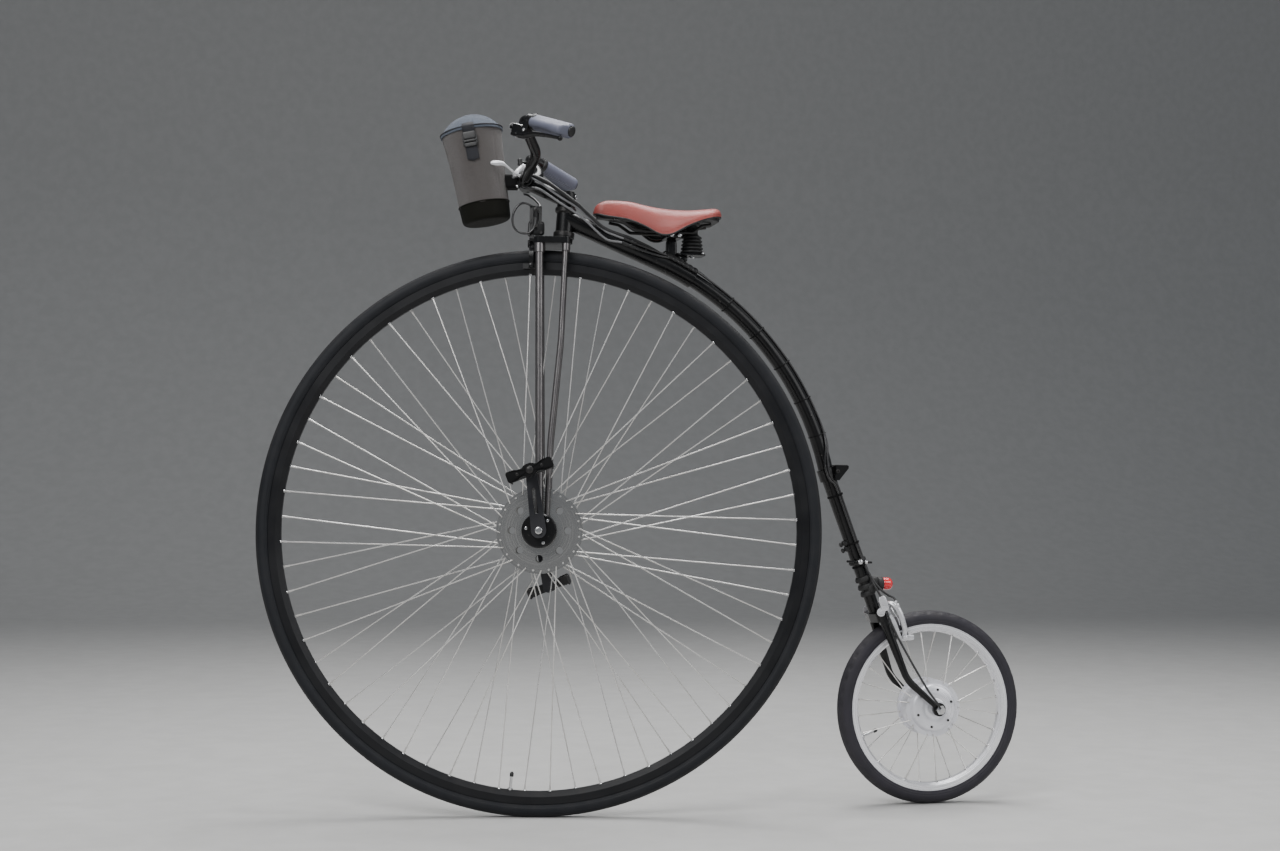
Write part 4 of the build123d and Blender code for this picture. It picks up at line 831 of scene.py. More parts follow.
# painted highlight: this light grey stands in for the highlights that the black cables catch over the head
PAINTED_HIGHLIGHT_HOUSING = Finish("grey_housing_painted_highlight", (0.20, 0.20, 0.21), (0.14, 0.14, 0.145), 0.32, coat=0.4, dust=0.06,
                      bump=0.00001)
CRANK_METAL = Finish("crank_metal", (0.014, 0.0145, 0.018), (0.022, 0.022, 0.026), 0.40, coat=0.1, dust=0.04,
                     bump=0.00001, specular=0.4)
BAND_RUBBER = Finish("band_rubber", (0.006, 0.006, 0.0065), (0.009, 0.009, 0.0095), 0.8, dust=0.02,
                     specular=0.12)
BLACK_HOUSING = Finish("black_housing", (0.012, 0.012, 0.013), (0.018, 0.018, 0.019), 0.30, coat=0.4,
                       dust=0.05, bump=0.00001)
BRIGHT_BOLT = Finish("bright_bolt", (0.74, 0.74, 0.75), (0.55, 0.55, 0.55), 0.22, metallic=1.0, dust=0.04,
                     bump=0.00001)
FLOOR = Finish("floor", (0.44, 0.435, 0.425), (0.47, 0.465, 0.455), 0.85, dust=0.0, bump=0.00002,
               specular=0.2)


# Frame nodes


WELDED = 1e-5
FLAT_ANGLE = math.radians(0.6)
CORNER = 32.0


def eased(node: str, body: Body, finish: Finish, width: float) -> None:
    """Puts a copy of a frame node in its place, its corners rounded.

    The copy's loose triangles are joined, flat neighbours become one face, and a bevel rounds each edge that
    turns by more than CORNER degrees.

    Args:
        node: the node's name.
        body: the body that it rides on.
        finish: its material.
        width: the rounding in millimetres.
    """
    mesh = frame["nodes"][node].data.copy()
    mesh.name = node + "_eased"
    work = bmesh.new()
    work.from_mesh(mesh)
    bmesh.ops.remove_doubles(work, verts=work.verts, dist=WELDED)
    bmesh.ops.dissolve_limit(work, angle_limit=FLAT_ANGLE, verts=work.verts, edges=work.edges)
    work.to_mesh(mesh)
    work.free()
    smooth_mesh(mesh, CORNER)
    piece = dress_piece(node + "_eased", mesh, body, finish, (node,))
    bevel = piece.modifiers.new("bevel", "BEVEL")
    bevel.width = width / METRE
    bevel.segments = 2
    bevel.limit_method = "ANGLE"
    bevel.angle_limit = math.radians(CORNER)
    bevel.harden_normals = True


def finish_nodes(finishes: dict[Finish, str]) -> None:
    """Gives frame nodes, named in one string, their materials."""
    for finish, nodes in finishes.items():
        for node in nodes.split():
            finish.cover(frame["nodes"][node].data)


# Wheels


@dataclass
class Tyre:
    """A tyre as a closed section that goes round the axle.

    Attributes:
        name: the piece's name.
        node: the frame node that it replaces.
        body: its wheel.
        hub: the wheel's middle.
        radius: to the tread's crown.
        half: half the tyre's width.
        rim_edge: the rim's outer edge.
        seat: the rim's bed.
        bead: half the bead's width.
        finish: its rubber.
        grooves: pairs of grooves round the tread as (degrees from the crown, depth, width in degrees).
        blocks: blocks to a turn on the shoulders, 0 for none.
        depth: the blocks' depth.
        shoulder: where the blocks lie and how wide, in degrees from the crown.
        steps: points round the wheel.
        columns: points round the section.
    """

    name: str
    node: str
    body: Body
    hub: np.ndarray
    radius: float
    half: float
    rim_edge: float
    seat: float
    bead: float
    finish: Finish
    grooves: tuple[Point, ...]
    blocks: int = 0
    depth: float = 0.0
    shoulder: tuple[float, float] = (38.0, 13.0)
    steps: int = 480
    columns: int = 84

    def build(self) -> None:
        """Builds the tyre.

        The section's angle p runs from bead to bead over the crown. A point lies at the section's middle
        plus (half - relief) (cos p, sin p); relief sums a bell curve for each groove and the blocks' gaps.
        """
        middle = self.radius - self.half
        reach = math.degrees(math.acos((self.rim_edge - middle) / self.half))
        p = np.linspace(-reach, reach, self.columns)
        turn = once_round(self.steps)
        relief = sum(depth * np.exp(-((p - way * at) / wide) ** 2) for at, depth, wide in self.grooves
                     for way in ((1, -1) if at else (1,)))
        relief = np.broadcast_to(relief, (self.steps, self.columns)).copy()
        if self.blocks:
            wave = 0.5 + 0.5 * np.tanh(4 * np.sin(turn * self.blocks)[:, None] * np.sign(p)[None, :] - 1.5)
            relief += self.depth * wave * np.exp(-((np.abs(p) - self.shoulder[0]) / self.shoulder[1]) ** 4)
        section = self.half - relief
        low = np.broadcast_to([self.rim_edge - 1.5, self.seat], (self.steps, 2))
        bead = np.full((self.steps, 2), self.bead)
        radial = np.concatenate([low[:, ::-1], middle + section * np.cos(np.radians(p)), low], axis=1)
        across = np.concatenate([-bead, section * np.sin(np.radians(p)), bead], axis=1)
        rim = np.cos(turn)[:, None, None] * X + np.sin(turn)[:, None, None] * Z
        points = self.hub + radial[..., None] * rim + across[..., None] * Y
        make_piece(self.name, [Patch(points, along=True)], self.body, self.finish, 30,
                   (self.node,))


@dataclass
class Wheels:
    """Both wheels: tyres, eyelets under the nipples, valves, the motor's covers and the nodes' materials.

    Attributes:
        rim_inner: the big rim's inner radius.
        small_rim_inner: the small rim's inner radius.
        offset: how far the nipples stand from the rim's middle.
        pitch: degrees between two spokes of one side of the big wheel's hub.
        lead: degrees that a big spoke runs ahead of its hole.
        small_pitch: degrees between two spokes of the small wheel.
        valve: the stem's radius and length.
        screws: the motor screws' circle and their distance from its middle.
    """

    rim_inner: float = 555.0
    small_rim_inner: float = 170.0
    offset: float = 4.0
    pitch: float = 11.25
    lead: float = 22.5
    small_pitch: float = 12.857
    valve: tuple[float, float] = (3.2, 38.0)
    screws: tuple[float, float] = (42.0, 37.6)

    def tyres(self) -> None:
        """Builds both tyres."""
        Tyre("big_tyre_road", "front_tyre", Body.BIG_WHEEL, BIG_HUB, 609.5, 16.0, 582.0, 579.3, 9.0, BIG_TYRE,
             ((0.0, 0.5, 2.5), (14.0, 0.4, 2.0), (112.0, 0.5, 3.0), (125.0, 0.6, 2.5))).build()
        Tyre("small_tyre_road", "rear_tyre", Body.SMALL_WHEEL, SMALL_HUB, 217.0, 19.0, 187.8, 181.3, 12.5,
             SMALL_TYRE, ((9.0, 0.9, 3.0), (96.0, 0.6, 3.0), (112.0, 0.7, 3.0)), 46, 1.3).build()

    def eyelets(self, name: str, body: Body, hub: np.ndarray, radius: float,
                angles: "dict[int, np.ndarray]") -> None:
        """A small turned collar where each nipple enters the rim, from each side's angles in degrees."""
        found = []
        for side, turns in angles.items():
            for angle in np.radians(turns):
                away = upright(-angle)
                found.append(turned([(3.9, 0.4), (3.9, -0.8), (3.0, -1.6), (2.3, -1.6), (2.3, 0.4)],
                                    hub + away * (radius + 0.4) + Y * side * self.offset, away, 10))
        make_piece(name, found, body, BRIGHT_BOLT)

    def all_eyelets(self) -> None:
        """Sixty-four eyelets on the big rim and twenty-eight on the small one."""
        turns = np.arange(16) * 2 * self.pitch
        big = {side: np.concatenate([side * self.pitch / 4 + self.lead + turns,
                                     side * self.pitch / 4 + self.pitch - self.lead + turns])
               for side in (-1, 1)}
        self.eyelets("big_rim_eyelets", Body.BIG_WHEEL, BIG_HUB, self.rim_inner, big)
        turns = np.arange(7) * 360 / 7
        small = {side: np.concatenate([side * self.small_pitch / 2 + way * self.small_pitch + turns
                                       for way in (-1, 1)]) for side in (-1, 1)}
        self.eyelets("small_rim_eyelets", Body.SMALL_WHEEL, SMALL_HUB, self.small_rim_inner, small)

    def stem(self, name: str, hub: np.ndarray, radius: float, angle: float, body: Body) -> None:
        """A threaded valve stem with its nut and cap, pointing at the hub."""
        line = -upright(-math.radians(angle))
        seat = hub - line * radius
        r, end = self.valve
        thread = [(r - 0.25 * (k % 2), 4 + k * 0.8) for k in range(int((end - 14) / 0.8))]
        metal = turned([(0, -2), (r + 2.4, -2), (r + 2.4, 3, 1), (r, 3.2), *thread, (r, end - 10),
                        (0, end - 10)], seat, line, 18)
        cap = turned([(0, end - 10), (r + 1, end - 10), (r + 1, end - 3), (r * 0.6, end), (0, end)],
                     seat, line, 18)
        make_piece(name, [metal], body, BRIGHT_BOLT)
        make_piece(name + "_cap", [cap], body, BLACK_PLASTIC)

    def motor_covers(self) -> None:
        """The motor's turned covers: stepped rings with six screws on each side."""
        steps = [(12.0, 30), (12.0, 40.2), (13.0, 40.5), (22.6, 40.5), (23.8, 39.6), (25.2, 39.6),
                 (26.4, 40.2), (34.0, 39.2), (45.6, 37.4), (49.4, 36.3), (51.6, 34.0), (53.4, 31.0),
                 (54.6, 28.6), (57.4, 28.3), (57.8, 27.0), (12.0, 27.0), (12.0, 30)]
        make_piece("motor_covers", [turned(steps, SMALL_HUB, Y * side, 72) for side in (-1, 1)],
                   Body.SMALL_WHEEL, MOTOR_METAL)
        circle, depth = self.screws
        screws = [bolt(SMALL_HUB + upright(angle) * circle + Y * side * depth, Y * side, 2.9, 1.8)
                  for side in (-1, 1) for angle in np.radians(np.arange(20, 380, 60))]
        make_piece("motor_screws", screws, Body.SMALL_WHEEL, DARK_STEEL)

    def build(self) -> None:
        """Builds the wheels' pieces."""
        finish_nodes({BLACK_RIM: "front_rim", WIRE: "front_spokes rear_spokes", HUB_METAL: "front_hub",
                      SHINY_RIM: "rear_rim", MOTOR_METAL: "motor_shell"})
        self.tyres()
        self.all_eyelets()
        self.motor_covers()
        self.stem("big_valve", BIG_HUB, self.rim_inner, 96.0, Body.BIG_WHEEL)
        self.stem("small_valve", SMALL_HUB, self.small_rim_inner, 158.0, Body.SMALL_WHEEL)


# Cranks and pedals


@dataclass
class Drive:
    """Eased cranks and pedals, their bolts, and the pedals' pins and toothed end plates.

    Attributes:
        crank: the crank's length.
        lean: its lean from upright in degrees.
        crank_outer: the crank's outer face from the wheel's middle.
        housing: the bearing screws' circle and the housing's outer face.
        pedal: the pedal's length and width.
        pedal_gap: the gap between crank and pedal.
        pedal_top: half the pedal's height.
        tilt: the pedal's tilt in degrees.
    """

    crank: float = 125.0
    lean: float = 7.8
    crank_outer: float = 97.0
    housing: tuple[float, float] = (27.5, 76.0)
    pedal: tuple[float, float] = (100.0, 88.0)
    pedal_gap: float = 5.0
    pedal_top: float = 9.0
    tilt: float = 21.5

    def pedal_pieces(self, side: int, name: str, body: Body) -> None:
        """A pedal's pins on both faces of its rails, and its toothed end plate with a cap and screws.

        The left pedal stands above the hub and ahead, the right one opposite. The plate's edge is
        7 + 6.5 e^-(u / 13)^4 high, higher still beyond u = 27, with teeth from there to its ends.
        """
        length, width = self.pedal
        a = math.radians(self.lean)
        middle = (BIG_HUB + np.array([math.sin(a), 0.0, -math.cos(a)]) * self.crank * side
                  + Y * side * (self.crank_outer + self.pedal_gap + width / 2))
        a = math.radians(-self.tilt)
        ahead = upright(-a)
        up = np.array([math.sin(a), 0.0, math.cos(a)])
        pins = [turned([(1.9, -0.5), (1.9, 1.2), (1.3, 3.2), (0, 3.2)],
                       middle + ahead * row * (length / 2 - 4.5) + Y * y + up * way * self.pedal_top,
                       up * way, 10)
                for way in (-1, 1) for row in (-1, 1) for y in np.linspace(-34, 34, 5)]
        make_piece(f"pedal_pins_{name}", pins, body, DARK_STEEL)
        u = np.linspace(48, -48, 97)
        high = 7.0 + 6.5 * np.exp(-(u / 13) ** 4) + 4.0 / (1 + np.exp(-(np.abs(u) - 27) / 1.6))
        high = high + 1.2 * np.sin(u * 1.05) * (np.abs(u) > 29) * (np.abs(u) < 47)
        outline = np.concatenate([np.stack([u, high], axis=1), [[-50.0, 7.0], [-50.0, -7.0]],
                                  np.stack([-u, -high[::-1]], axis=1), [[50.0, -7.0], [50.0, 7.0]]])
        end = middle + Y * side * (width / 2 + 0.6)
        make_piece(f"pedal_plate_{name}", [plate(outline, end, ahead, up, 3.0, 0.7)], body, BAND_RUBBER)
        face = end + Y * side * 1.4
        cap = turned([(0, 3.4), (5.0, 3.2), (7.6, 2.0), (8.4, 0.4), (8.4, -1.0), (0, -1.0)],
                     face, Y * side, 28)
        screws = [bolt(face + ahead * reach, Y * side, 3.2, 1.8) for reach in (-27.0, 27.0)]
        make_piece(f"pedal_cap_{name}", [cap, *screws], body, DARK_STEEL)

    def bolts(self, side: int, name: str) -> None:
        """The axle's end bolt in the crank and three cover screws on the bearing housing."""
        crank_end = BIG_HUB + Y * side * (self.crank_outer + 1.0)
        make_piece(f"crank_bolt_{name}", [bolt(crank_end, Y * side, 7.5, 5.0)], Body.BIG_WHEEL, BRIGHT_BOLT)
        circle, outer = self.housing
        screws = [bolt(BIG_HUB + upright(angle) * circle + Y * side * outer, Y * side, 3.4, 2.6)
                  for angle in np.radians([50.0, 170.0, 290.0])]
        make_piece(f"bearing_screws_{name}", screws, Body.STEERING, BRIGHT_BOLT)

    def build(self) -> None:
        """Builds both sides."""
        finish_nodes({BLACK_PAINT: "bearing_left bearing_right"})
        pedals = (Body.PEDAL_LEFT, Body.PEDAL_RIGHT)
        for _, name in SIDES:
            eased(f"crank_{name}", Body.BIG_WHEEL, CRANK_METAL, 1.4)
        for (_, name), body in zip(SIDES, pedals):
            eased(f"pedal_{name}", body, BLACK_PLASTIC, 1.2)
        for (side, name), body in zip(SIDES, pedals):
            self.pedal_pieces(side, name, body)
            self.bolts(side, name)


# Saddle


@dataclass
class Saddle:
    """The leather saddle: a padded cover over a lining and a pan, its rim, stitches, post and bellows.

    Attributes:
        top: the ridge's height over the length.
        edge: the lower edge's height over the length.
        width: half the width over the length.
        pan: the pan's section as (share of half the width, height), from its middle round to its left side.
        ends: where the saddle starts and ends.
        power: the section's roundness at its nose and at its tail.
        skin: the leather's thickness with its padding.
        stitch: the stitches' pitch, length and radius.
    """

    top: list[tuple[float, float]] = field(default_factory=lambda: [
        (111, 1309), (116, 1321), (127, 1329), (145, 1333.5), (188, 1333), (222, 1326.5), (253, 1321.5),
        (285, 1318.5), (318, 1317.5), (352, 1320.5), (374, 1324), (386, 1324), (393, 1320), (397, 1314)])
    edge: list[tuple[float, float]] = field(default_factory=lambda: [
        (111, 1303), (134, 1297), (178, 1291.5), (216, 1277), (243, 1261.5), (259, 1257.5), (277, 1260.5),
        (305, 1275.5), (335, 1288), (365, 1298), (397, 1305)])
    width: list[tuple[float, float]] = field(default_factory=lambda: [
        (111, 6), (114, 11), (121, 16.5), (132, 19.8), (150, 21.5), (170, 23.5), (192, 29), (215, 36),
        (245, 47), (275, 58), (305, 67), (330, 72.5), (348, 73), (363, 68.5), (376, 59), (386, 46), (393, 31),
        (397, 16)])
    pan: tuple[tuple[float, float], ...] = ((0.0, 1291.7), (0.6, 1291.7), (0.97, 1291.9), (1.0, 1294.5),
                                            (0.97, 1297.5), (0.6, 1299.7), (0.0, 1300.2))
    ends: tuple[float, float] = (111.0, 397.0)
    power: tuple[float, float] = (0.62, 0.8)
    skin: float = 9.0
    stitch: Point = (5.5, 3.2, 0.45)

    def shell(self, inset: float, lift: float, columns: int = 61, rows: int = 150) -> np.ndarray:
        """The cover's outer surface, less an inset.

        At each place x along, the section's angle p runs from one lower edge over the ridge to the other:
        y = w sign(sin p) |sin p|^0.8 and z = e + (t - e) cos(p)^k, with half width w, ridge t, edge e and k
        from 0.62 at the nose to 0.8 at the tail.

        Args:
            inset: how far inside the outer surface.
            lift: how far the lower edge is raised.
            columns: points across.
            rows: points along.

        Returns:
            Rows by columns by 3.
        """
        nose, tail = self.ends
        x = nose + (tail - nose) * (0.5 - 0.5 * np.cos(np.linspace(0, math.pi, rows)))
        half = np.maximum(curve_of(self.width, x) - inset, 0.5)
        top = curve_of(self.top, x) - inset
        low = np.minimum(curve_of(self.edge, x) + lift, top - 0.5)
        x = np.clip(x, nose + inset, tail - inset)
        power = np.interp(x, [180, 300], self.power)[:, None]
        p = np.linspace(-math.pi / 2, math.pi / 2, columns)[None, :]
        y = half[:, None] * np.sign(np.sin(p)) * np.abs(np.sin(p)) ** 0.8
        z = low[:, None] + (top - low)[:, None] * np.cos(p).clip(0) ** power
        return np.stack([np.broadcast_to(x[:, None], y.shape), y, z], axis=2)

    @staticmethod
    def capped(grid: np.ndarray) -> Patch:
        """A tube of rows, closed by a point at each end."""
        ends = [np.broadcast_to(grid[k].mean(axis=0), grid[:1].shape) for k in (0, -1)]
        return Patch(np.concatenate([ends[0], grid, ends[1]]))

    def cover(self) -> None:
        """The padded cover: outer skin, rolled lower edge and the inside, closed at nose and tail."""
        outer, inner = self.shell(0.0, 0.0), self.shell(self.skin * 0.5, 3.0)
        ring = np.concatenate([outer, inner[:, ::-1]], axis=1)
        nose, tail = ring[:1].mean(axis=1, keepdims=True), ring[-1:].mean(axis=1, keepdims=True)
        first = nose + (ring[:1] - nose) * np.array([0.0, 0.6])[:, None, None]
        last = tail + (ring[-1:] - tail) * np.array([0.6, 0.0])[:, None, None]
        ring = np.concatenate([first, ring, last])
        piece = make_piece("saddle_leather_cover", [Patch(ring, size=(0.2, 0.29))], Body.FRAME, RED_LEATHER,
                           50, ("saddle_cover",))

    def border(self, lift: float, out: float) -> np.ndarray:
        """A closed line round the lower edge, raised and moved outwards."""
        shell = self.shell(0.0, lift)
        line = np.concatenate([shell[:, 0], shell[::-1, -1]])
        away = unit(line - np.array([300.0, 0.0, 1300.0])) * np.array([1, 1, 0])
        return line + away * out

    def underside(self) -> None:
        """The black rim below the leather, the lining inside it and the pan under the seat."""
        rim = tube(self.border(-1.0, -2.6)[::2], 2.6, 10, Z, closed=True)
        wall = np.concatenate([self.shell(4.9, 2.2), self.shell(6.6, 3.4)[:, ::-1]], axis=1)
        x = 118 + 268 * (0.5 - 0.5 * np.cos(np.linspace(0, math.pi, 90)))
        half = np.maximum(curve_of(self.width, x) - 8.0, 2.0)[:, None]
        left = np.array(self.pan)
        section = np.concatenate([left, left[-2:0:-1] * [-1, 1]])
        base = np.stack(np.broadcast_arrays(x[:, None], half * section[None, :, 0], section[None, :, 1]),
                        axis=2)
        for name, patch, sharp, nodes in (("saddle_rim", rim, 40, ()),
                                          ("saddle_lining", self.capped(wall[4:-4]), 50, ()),
                                          ("saddle_pan", self.capped(base), 40, ("saddle_base",))):
            make_piece(name, [patch], Body.FRAME, BLACK_PLASTIC, sharp, nodes)

    def stitches(self) -> None:
        """A row of stitches a little above the lower edge."""
        pitch, length, radius = self.stitch
        seam = self.border(6.0, 0.1)
        reach = np.concatenate([[0], np.cumsum(np.linalg.norm(np.diff(seam, axis=0), axis=1))])
        at = np.arange(4.0, reach[-1] - 4.0, pitch)
        ends = [np.stack([np.interp(at + k, reach, seam[:, i]) for i in range(3)], axis=1)
                for k in (0.0, length)]
        make_piece("saddle_stitches", [tube(np.linspace(a, b, 3), radius, 6, Z) for a, b in zip(*ends)],
                   Body.FRAME, RED_LEATHER)

    def post(self) -> None:
        """The seat post's head with the jaws that hold the rails, and the shelf under the bellows."""
        base = unit((0.42, 0.0, 0.91))
        tilted = np.stack([np.cross(Y, base), Y, base])
        blocks = [pillow((287.0, 0.0, 1222.0), (11.5, 10.0, 34.0), 0.4, 17, 28),
                  pillow(np.array([288.0, 0.0, 1205.0]) + base * 8, (26.0, 11.0, 8.0), 0.4, 15, 28, tilted),
                  pillow((289.0, 0.0, 1260.5), (19.0, 27.5, 6.4), 0.3, 15, 32),
                  pillow((289.0, 0.0, 1273.5), (19.0, 27.5, 4.4), 0.3, 15, 32)]
        blocks += [tube([(x, side * 21.0, 1268.0) for x in (268.5, 289.0, 309.5)], 6.0, 14, Z)
                   for side in (-1, 1)]
        blocks += [pillow((329.0, 0.0, 1221.0), (33.0, 22.0, 2.6), 0.3, 11, 40),
                   pillow((304.0, 0.0, 1213.0), (20.0, 5.0, 8.0), 0.5)]
        make_piece("saddle_post", blocks, Body.FRAME, BLACK_PAINT, 35, ("saddle_clamp",))

    def bellows(self) -> None:
        """The rubber bellows over the springs: five folds, each a little narrower, below a neck."""
        rows = [(0.0, 0.0), (20.0, 0.0)]
        for k in range(5):
            reach, low = 25.5 - 0.9 * k, 1.0 + 8.0 * k
            rows += [(reach - inset, low + rise) for inset, rise in (
                (3.0, 0.0), (0.0, 2.0), (0.0, 4.2), (3.0, 6.2), (5.0, 7.2))]
        rows += [(15.0, 42.0), (13.0, 45.0), (13.0, 62.0), (17.0, 66.0), (17.0, 68.0), (0.0, 68.0)]
        make_piece("saddle_bellows", [turned(rows, (334.5, 0.0, 1223.6), Z, 56)], Body.FRAME, SOFT_RUBBER,
                   30, ("saddle_springs",))

    def bolts(self) -> None:
        """The bolts of the jaws, of the shelf and of the bellows."""
        found = [bolt((289.0 + dx, side * 8.0, 1277.6), Z, 3.6, 3.4) for dx in (-10.0, 10.0)
                 for side in (-1, 1)]
        found += [bolt((289.0 + dx, side * 27.4, 1260.5), Y * side, 4.2, 4.0, True) for dx in (-8.0, 9.0)
                  for side in (-1, 1)]
        found += [turned([(0, -4), (5, -4), (6.2, -2.6), (6.2, 0), (0, 0)], (334.5, 0.0, 1218.4), Z, 24),
                  bolt((304.0, -5.0, 1213.0), -Y, 3.4, 3.0, True)]
        found += [bolt((355.0, side * 15.0, 1223.4), Z, 3.4, 2.6) for side in (-1, 1)]
        make_piece("saddle_clamp_bolts", found, Body.FRAME, BRIGHT_BOLT)

    def build(self) -> None:
        """Builds the saddle."""
        finish_nodes({DARK_STEEL: "saddle_rails"})
        self.cover()
        self.underside()
        self.stitches()
        self.post()
        self.bellows()
        self.bolts()


# Handlebar bag


@dataclass
class Bag:
    """The bucket bag on the handlebar: cloth body, dark base, domed lid, strap and buckle.

    Attributes:
        bottom: the middle of its underside.
        lean: its lean to the front in degrees.
        height: its height to the lid's edge.
        low_radius: its radius at the bottom.
        high_radius: its radius at the lid.
        base_height: the dark base's height.
        lid_height: the dome's height.
        skirt: the height of the lid's edge.
        strap_angle: where the strap hangs, in degrees round from the rear to the right.
        seam: where the wall's seam runs, in degrees.
    """

    bottom: Point = (-122.0, 0.0, 1277.0)
    lean: float = 10.5
    height: float = 204.0
    low_radius: float = 52.0
    high_radius: float = 66.0
    base_height: float = 40.0
    lid_height: float = 38.0
    skirt: float = 7.0
    strap_angle: float = 267.0
    seam: float = 318.0

    def axes(self) -> tuple[np.ndarray, np.ndarray, np.ndarray]:
        """The bag's own directions: to the rear, to the right and up along its middle."""
        a = math.radians(self.lean)
        return upright(a), Y, np.array([-math.sin(a), 0, math.cos(a)])

    def at(self, radius: "float | np.ndarray", angle: np.ndarray, height: "float | np.ndarray") -> np.ndarray:
        """Points from radius, angle and height, in the bag's own directions."""
        back, right, up = self.axes()
        radius, angle, height = np.broadcast_arrays(radius, angle, height)
        return (np.array(self.bottom) + (radius * np.cos(angle))[..., None] * back
                + (radius * np.sin(angle))[..., None] * right + height[..., None] * up)

    def closing(self, radius: float, angle: np.ndarray, height: float) -> np.ndarray:
        """One row of points that closes a surface."""
        return self.at(np.full((1, 1), radius), angle, np.array([[height]]))

    def radius(self, height: "float | np.ndarray") -> "float | np.ndarray":
        """The wall's radius, which grows evenly with height."""
        return self.low_radius + (self.high_radius - self.low_radius) * height / self.height

    def wall(self) -> None:
        """The cloth wall: the cone, pulled in a little at mid height, with soft upright folds and a seam.

        r = cone - 1.4 s + 0.9 s sin(3 a + 4 h) + 0.5 s^2 sin(7 a - 6 h), where h is the share of the height,
        s = sin(pi h) and a the angle.
        """
        share = np.linspace(0, 1, 60)[:, None]
        angle = once_round(144)[None, :]
        low, high = self.base_height - 2, self.height - 6
        height = low + (high - low) * share
        bulge = np.sin(math.pi * share)
        r = self.radius(height) - 1.4 * bulge + 0.9 * bulge * np.sin(3 * angle + 4 * share)
        r = r + 0.5 * bulge ** 2 * np.sin(7 * angle - 6 * share)
        r = r - 1.1 * np.exp(-((angle - math.radians(self.seam)) / 0.03) ** 2)
        rows = [self.closing(2.0, angle, low), self.at(r, angle, height), self.closing(2.0, angle, high)]
        make_piece("bag_wall", [Patch(np.concatenate(rows), size=(0.4, 0.17))], Body.STEERING, GREY_CLOTH,
                   40, ("bag_body",))

    def hoop(self, name: str, radius: float, height: float, thick: float, finish: Finish) -> None:
        """A thin ring of piping round the bag."""
        ring = self.at(radius, once_round(96), height)
        make_piece(name, [tube(ring, thick, 8, Z, closed=True)], Body.STEERING, finish)

    def foot(self) -> None:
        """The dark base: a coated band with a rounded lower corner and a welt at its top."""
        profile = smooth_line([(0, 1.0), (30, 0.6), (44, 0.8), (50, 3.5), (52.6, 9), (53.6, 22), (54.9, 38),
                               (54.7, 40.2), (52.0, 40.6)], 6)
        angle = once_round(96)[None, :]
        r = profile[:, :1] + 0.35 * np.sin(5 * angle) * (profile[:, 1:] / 40)
        rows = [self.at(r, angle, profile[:, 1:]), self.closing(0.0, angle, 40.6)]
        make_piece("bag_foot", [Patch(np.concatenate(rows), size=(0.34, 0.09))], Body.STEERING, DARK_CLOTH,
                   40, ("bag_base",))
        self.hoop("bag_welt", 55.3, 40.4, 1.3, DARK_CLOTH)

    def lid(self) -> None:
        """The domed lid with a skirt: the dome falls as 1 - r^2.4, sunk a little where a hand presses it."""
        r_edge = self.high_radius + 2.0
        share = np.linspace(0, 1, 28)[:, None]
        angle = once_round(96)[None, :]
        base = self.height - self.skirt
        r = share * (r_edge - 1.2)
        z = base + self.skirt + (self.lid_height - 1.5) * (1 - share ** 2.4)
        z = z - 1.2 * np.exp(-(((r * np.cos(angle) + 18) / 20) ** 2 + ((r * np.sin(angle) + 10) / 26) ** 2))
        z = z + 0.5 * np.sin(4 * angle + 5 * share) * share
        down = np.array([[0.15], [0.5], [0.9], [1.0]])
        out = r_edge + np.array([[0.0], [0.5], [0.4], [-0.8]]) + 0.4 * np.sin(6 * angle)
        rows = [self.at(r, angle, z), self.at(out, angle, base + self.skirt * (1 - down)),
                self.closing(r_edge - 4, angle, base + 0.5), self.closing(0.0, angle, base + 6.0)]
        make_piece("bag_cover", [Patch(np.concatenate(rows), size=(0.4, 0.16))], Body.STEERING, LID_CLOTH,
                   50, ("bag_lid",))
        self.hoop("bag_lid_piping", r_edge + 0.2, self.height - 0.5, 1.6, WEBBING)

    def strap(self) -> None:
        """The webbing tab from the lid's near side down the wall, with its buckle."""
        angle = math.radians(self.strap_angle)
        back, right, up = self.axes()
        away = math.cos(angle) * back + math.sin(angle) * right
        across = -math.sin(angle) * back + math.cos(angle) * right
        height = self.height + np.array([7.0, 1.0, -4.0, -12.0, -18.0, -40.0, -72.0])
        out = np.concatenate([self.high_radius + np.array([-5.5, 2.8, 4.4, 3.6]),
                              self.radius(height[4:]) + np.array([2.2, 1.2, 1.2])])
        line = smooth_line(np.stack([out, height], axis=1), 6)
        path = np.array(self.bottom) + line[:, :1] * away + line[:, 1:] * up
        make_piece("bag_strap", [tube(path, 13.0, 16, across, 0.1)], Body.STEERING, WEBBING)
        parts = []
        for drop, out, aside, half in ((22, 4.2, 0.0, (14.5, 8.5, 2.4)), (34, 4.6, 0.0, (15.5, 2.6, 2.8)),
                                       (42, 3.8, 0.0, (14.0, 4.5, 2.0)), (32, 4.0, -14.0, (2.0, 12.5, 2.2)),
                                       (32, 4.0, 14.0, (2.0, 12.5, 2.2))):
            level = self.height - drop
            centre = np.array(self.bottom) + away * (self.radius(level) + out) + up * level + across * aside
            parts.append(pillow(centre, half, axes=np.stack([across, up, away])))
        make_piece("bag_buckle", parts, Body.STEERING, BLACK_PLASTIC)

    def build(self) -> None:
        """Builds the bag."""
        finish_nodes({BAND_RUBBER: "bag_bracket"})
        self.wall()
        self.foot()
        self.lid()
        self.strap()


# Handlebar, grips, levers and cables


CABLE = 2.5


